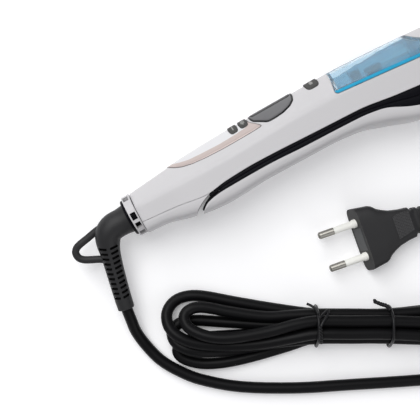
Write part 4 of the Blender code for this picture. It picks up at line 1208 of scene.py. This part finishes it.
class STYLER_OT_stage(StylerOperator, bpy.types.Operator):
    """Add the table top, the lights and the camera"""

    bl_idname = "styler.stage"
    bl_label = "Stage and camera"

    def execute(self, context):
        make_camera()
        make_stage()
        return {"FINISHED"}


class STYLER_OT_housings(StylerOperator, bpy.types.Operator):
    """Build the white housings"""

    bl_idname = "styler.housings"
    bl_label = "Housings"

    def execute(self, context):
        make_upper_shell()
        make_tail_cover()
        make_lower_shell()
        return {"FINISHED"}


class STYLER_OT_frames(StylerOperator, bpy.types.Operator):
    """Build the black inner frames of both arms"""

    bl_idname = "styler.frames"
    bl_label = "Inner frames"

    def execute(self, context):
        make_frames()
        make_cheeks()
        return {"FINISHED"}


class STYLER_OT_crown(StylerOperator, bpy.types.Operator):
    """Build the leaf inlay and the display"""

    bl_idname = "styler.crown"
    bl_label = "Leaf and display"

    def execute(self, context):
        make_leaf()
        make_display()
        return {"FINISHED"}


class STYLER_OT_buttons(StylerOperator, bpy.types.Operator):
    """Build the three keys of the crown"""

    bl_idname = "styler.buttons"
    bl_label = "Buttons"

    def execute(self, context):
        make_button("minus", MINUS_BUTTON, ((0.0, 4.4, 0.35, 1.1),))
        make_button("plus", PLUS_BUTTON, ((0.0, 4.4, 0.35, 1.1), (-0.72, 4.4, 0.3, 0.35), (0.72, 4.4, 0.3, 0.35)))
        make_button("power", POWER_BUTTON, ((0.0, 4.0, 0.9, 0.9),))
        return {"FINISHED"}


class STYLER_OT_tank(StylerOperator, bpy.types.Operator):
    """Build the clear tank and its water"""

    bl_idname = "styler.tank"
    bl_label = "Water tank"

    def execute(self, context):
        make_tank()
        return {"FINISHED"}


class STYLER_OT_swivel(StylerOperator, bpy.types.Operator):
    """Build the slotted collar and its flange"""

    bl_idname = "styler.swivel"
    bl_label = "Swivel collar"

    def execute(self, context):
        make_collar()
        return {"FINISHED"}


class STYLER_OT_elbow(StylerOperator, bpy.types.Operator):
    """Build the rubber elbow with its hanging loop"""

    bl_idname = "styler.elbow"
    bl_label = "Cord elbow"

    def execute(self, context):
        make_elbow()
        return {"FINISHED"}


class STYLER_OT_plug(StylerOperator, bpy.types.Operator):
    """Build the two-pin plug"""

    bl_idname = "styler.plug"
    bl_label = "Plug"

    def execute(self, context):
        make_plug()
        return {"FINISHED"}


class STYLER_OT_ties(StylerOperator, bpy.types.Operator):
    """Build the two wire ties of the hank"""

    bl_idname = "styler.ties"
    bl_label = "Wire ties"

    def execute(self, context):
        make_ties()
        return {"FINISHED"}


class STYLER_OT_cord(StylerOperator, bpy.types.Operator):
    """Lay the mains lead from the elbow through its hank to the plug"""

    bl_idname = "styler.cord"
    bl_label = "Mains lead"

    def execute(self, context):
        make_cord()
        return {"FINISHED"}


class STYLER_OT_coats(StylerOperator, bpy.types.Operator):
    """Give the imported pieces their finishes"""

    bl_idname = "styler.coats"
    bl_label = "Finishes"

    def execute(self, context):
        coat_cad_nodes()
        return {"FINISHED"}


OPERATORS = (STYLER_OT_stage, STYLER_OT_coats, STYLER_OT_housings, STYLER_OT_frames, STYLER_OT_crown,
             STYLER_OT_buttons, STYLER_OT_tank, STYLER_OT_swivel, STYLER_OT_elbow, STYLER_OT_plug, STYLER_OT_ties,
             STYLER_OT_cord)


class STYLER_PT_panel(bpy.types.Panel):
    """Build steps of the styler"""

    bl_idname = "STYLER_PT_panel"
    bl_label = "Steam hair straightener"
    bl_space_type = "VIEW_3D"
    bl_region_type = "UI"
    bl_category = "Styler"

    def draw(self, context):
        for operator in OPERATORS:
            self.layout.operator(operator.bl_idname)


CLASSES = (StylerColours, StylerSizes, *OPERATORS, STYLER_PT_panel)


def register():
    for cls in CLASSES:
        bpy.utils.register_class(cls)
    bpy.types.Scene.styler_colours = bpy.props.PointerProperty(type=StylerColours)
    bpy.types.Scene.styler_sizes = bpy.props.PointerProperty(type=StylerSizes)


def unregister():
    del bpy.types.Scene.styler_sizes
    del bpy.types.Scene.styler_colours
    for cls in reversed(CLASSES):
        bpy.utils.unregister_class(cls)


def main():
    register()
    for operator in OPERATORS:
        getattr(bpy.ops.styler, operator.bl_idname.split(".")[1])()
    bpy.context.view_layer.update()


if __name__ == "__main__":
    main()
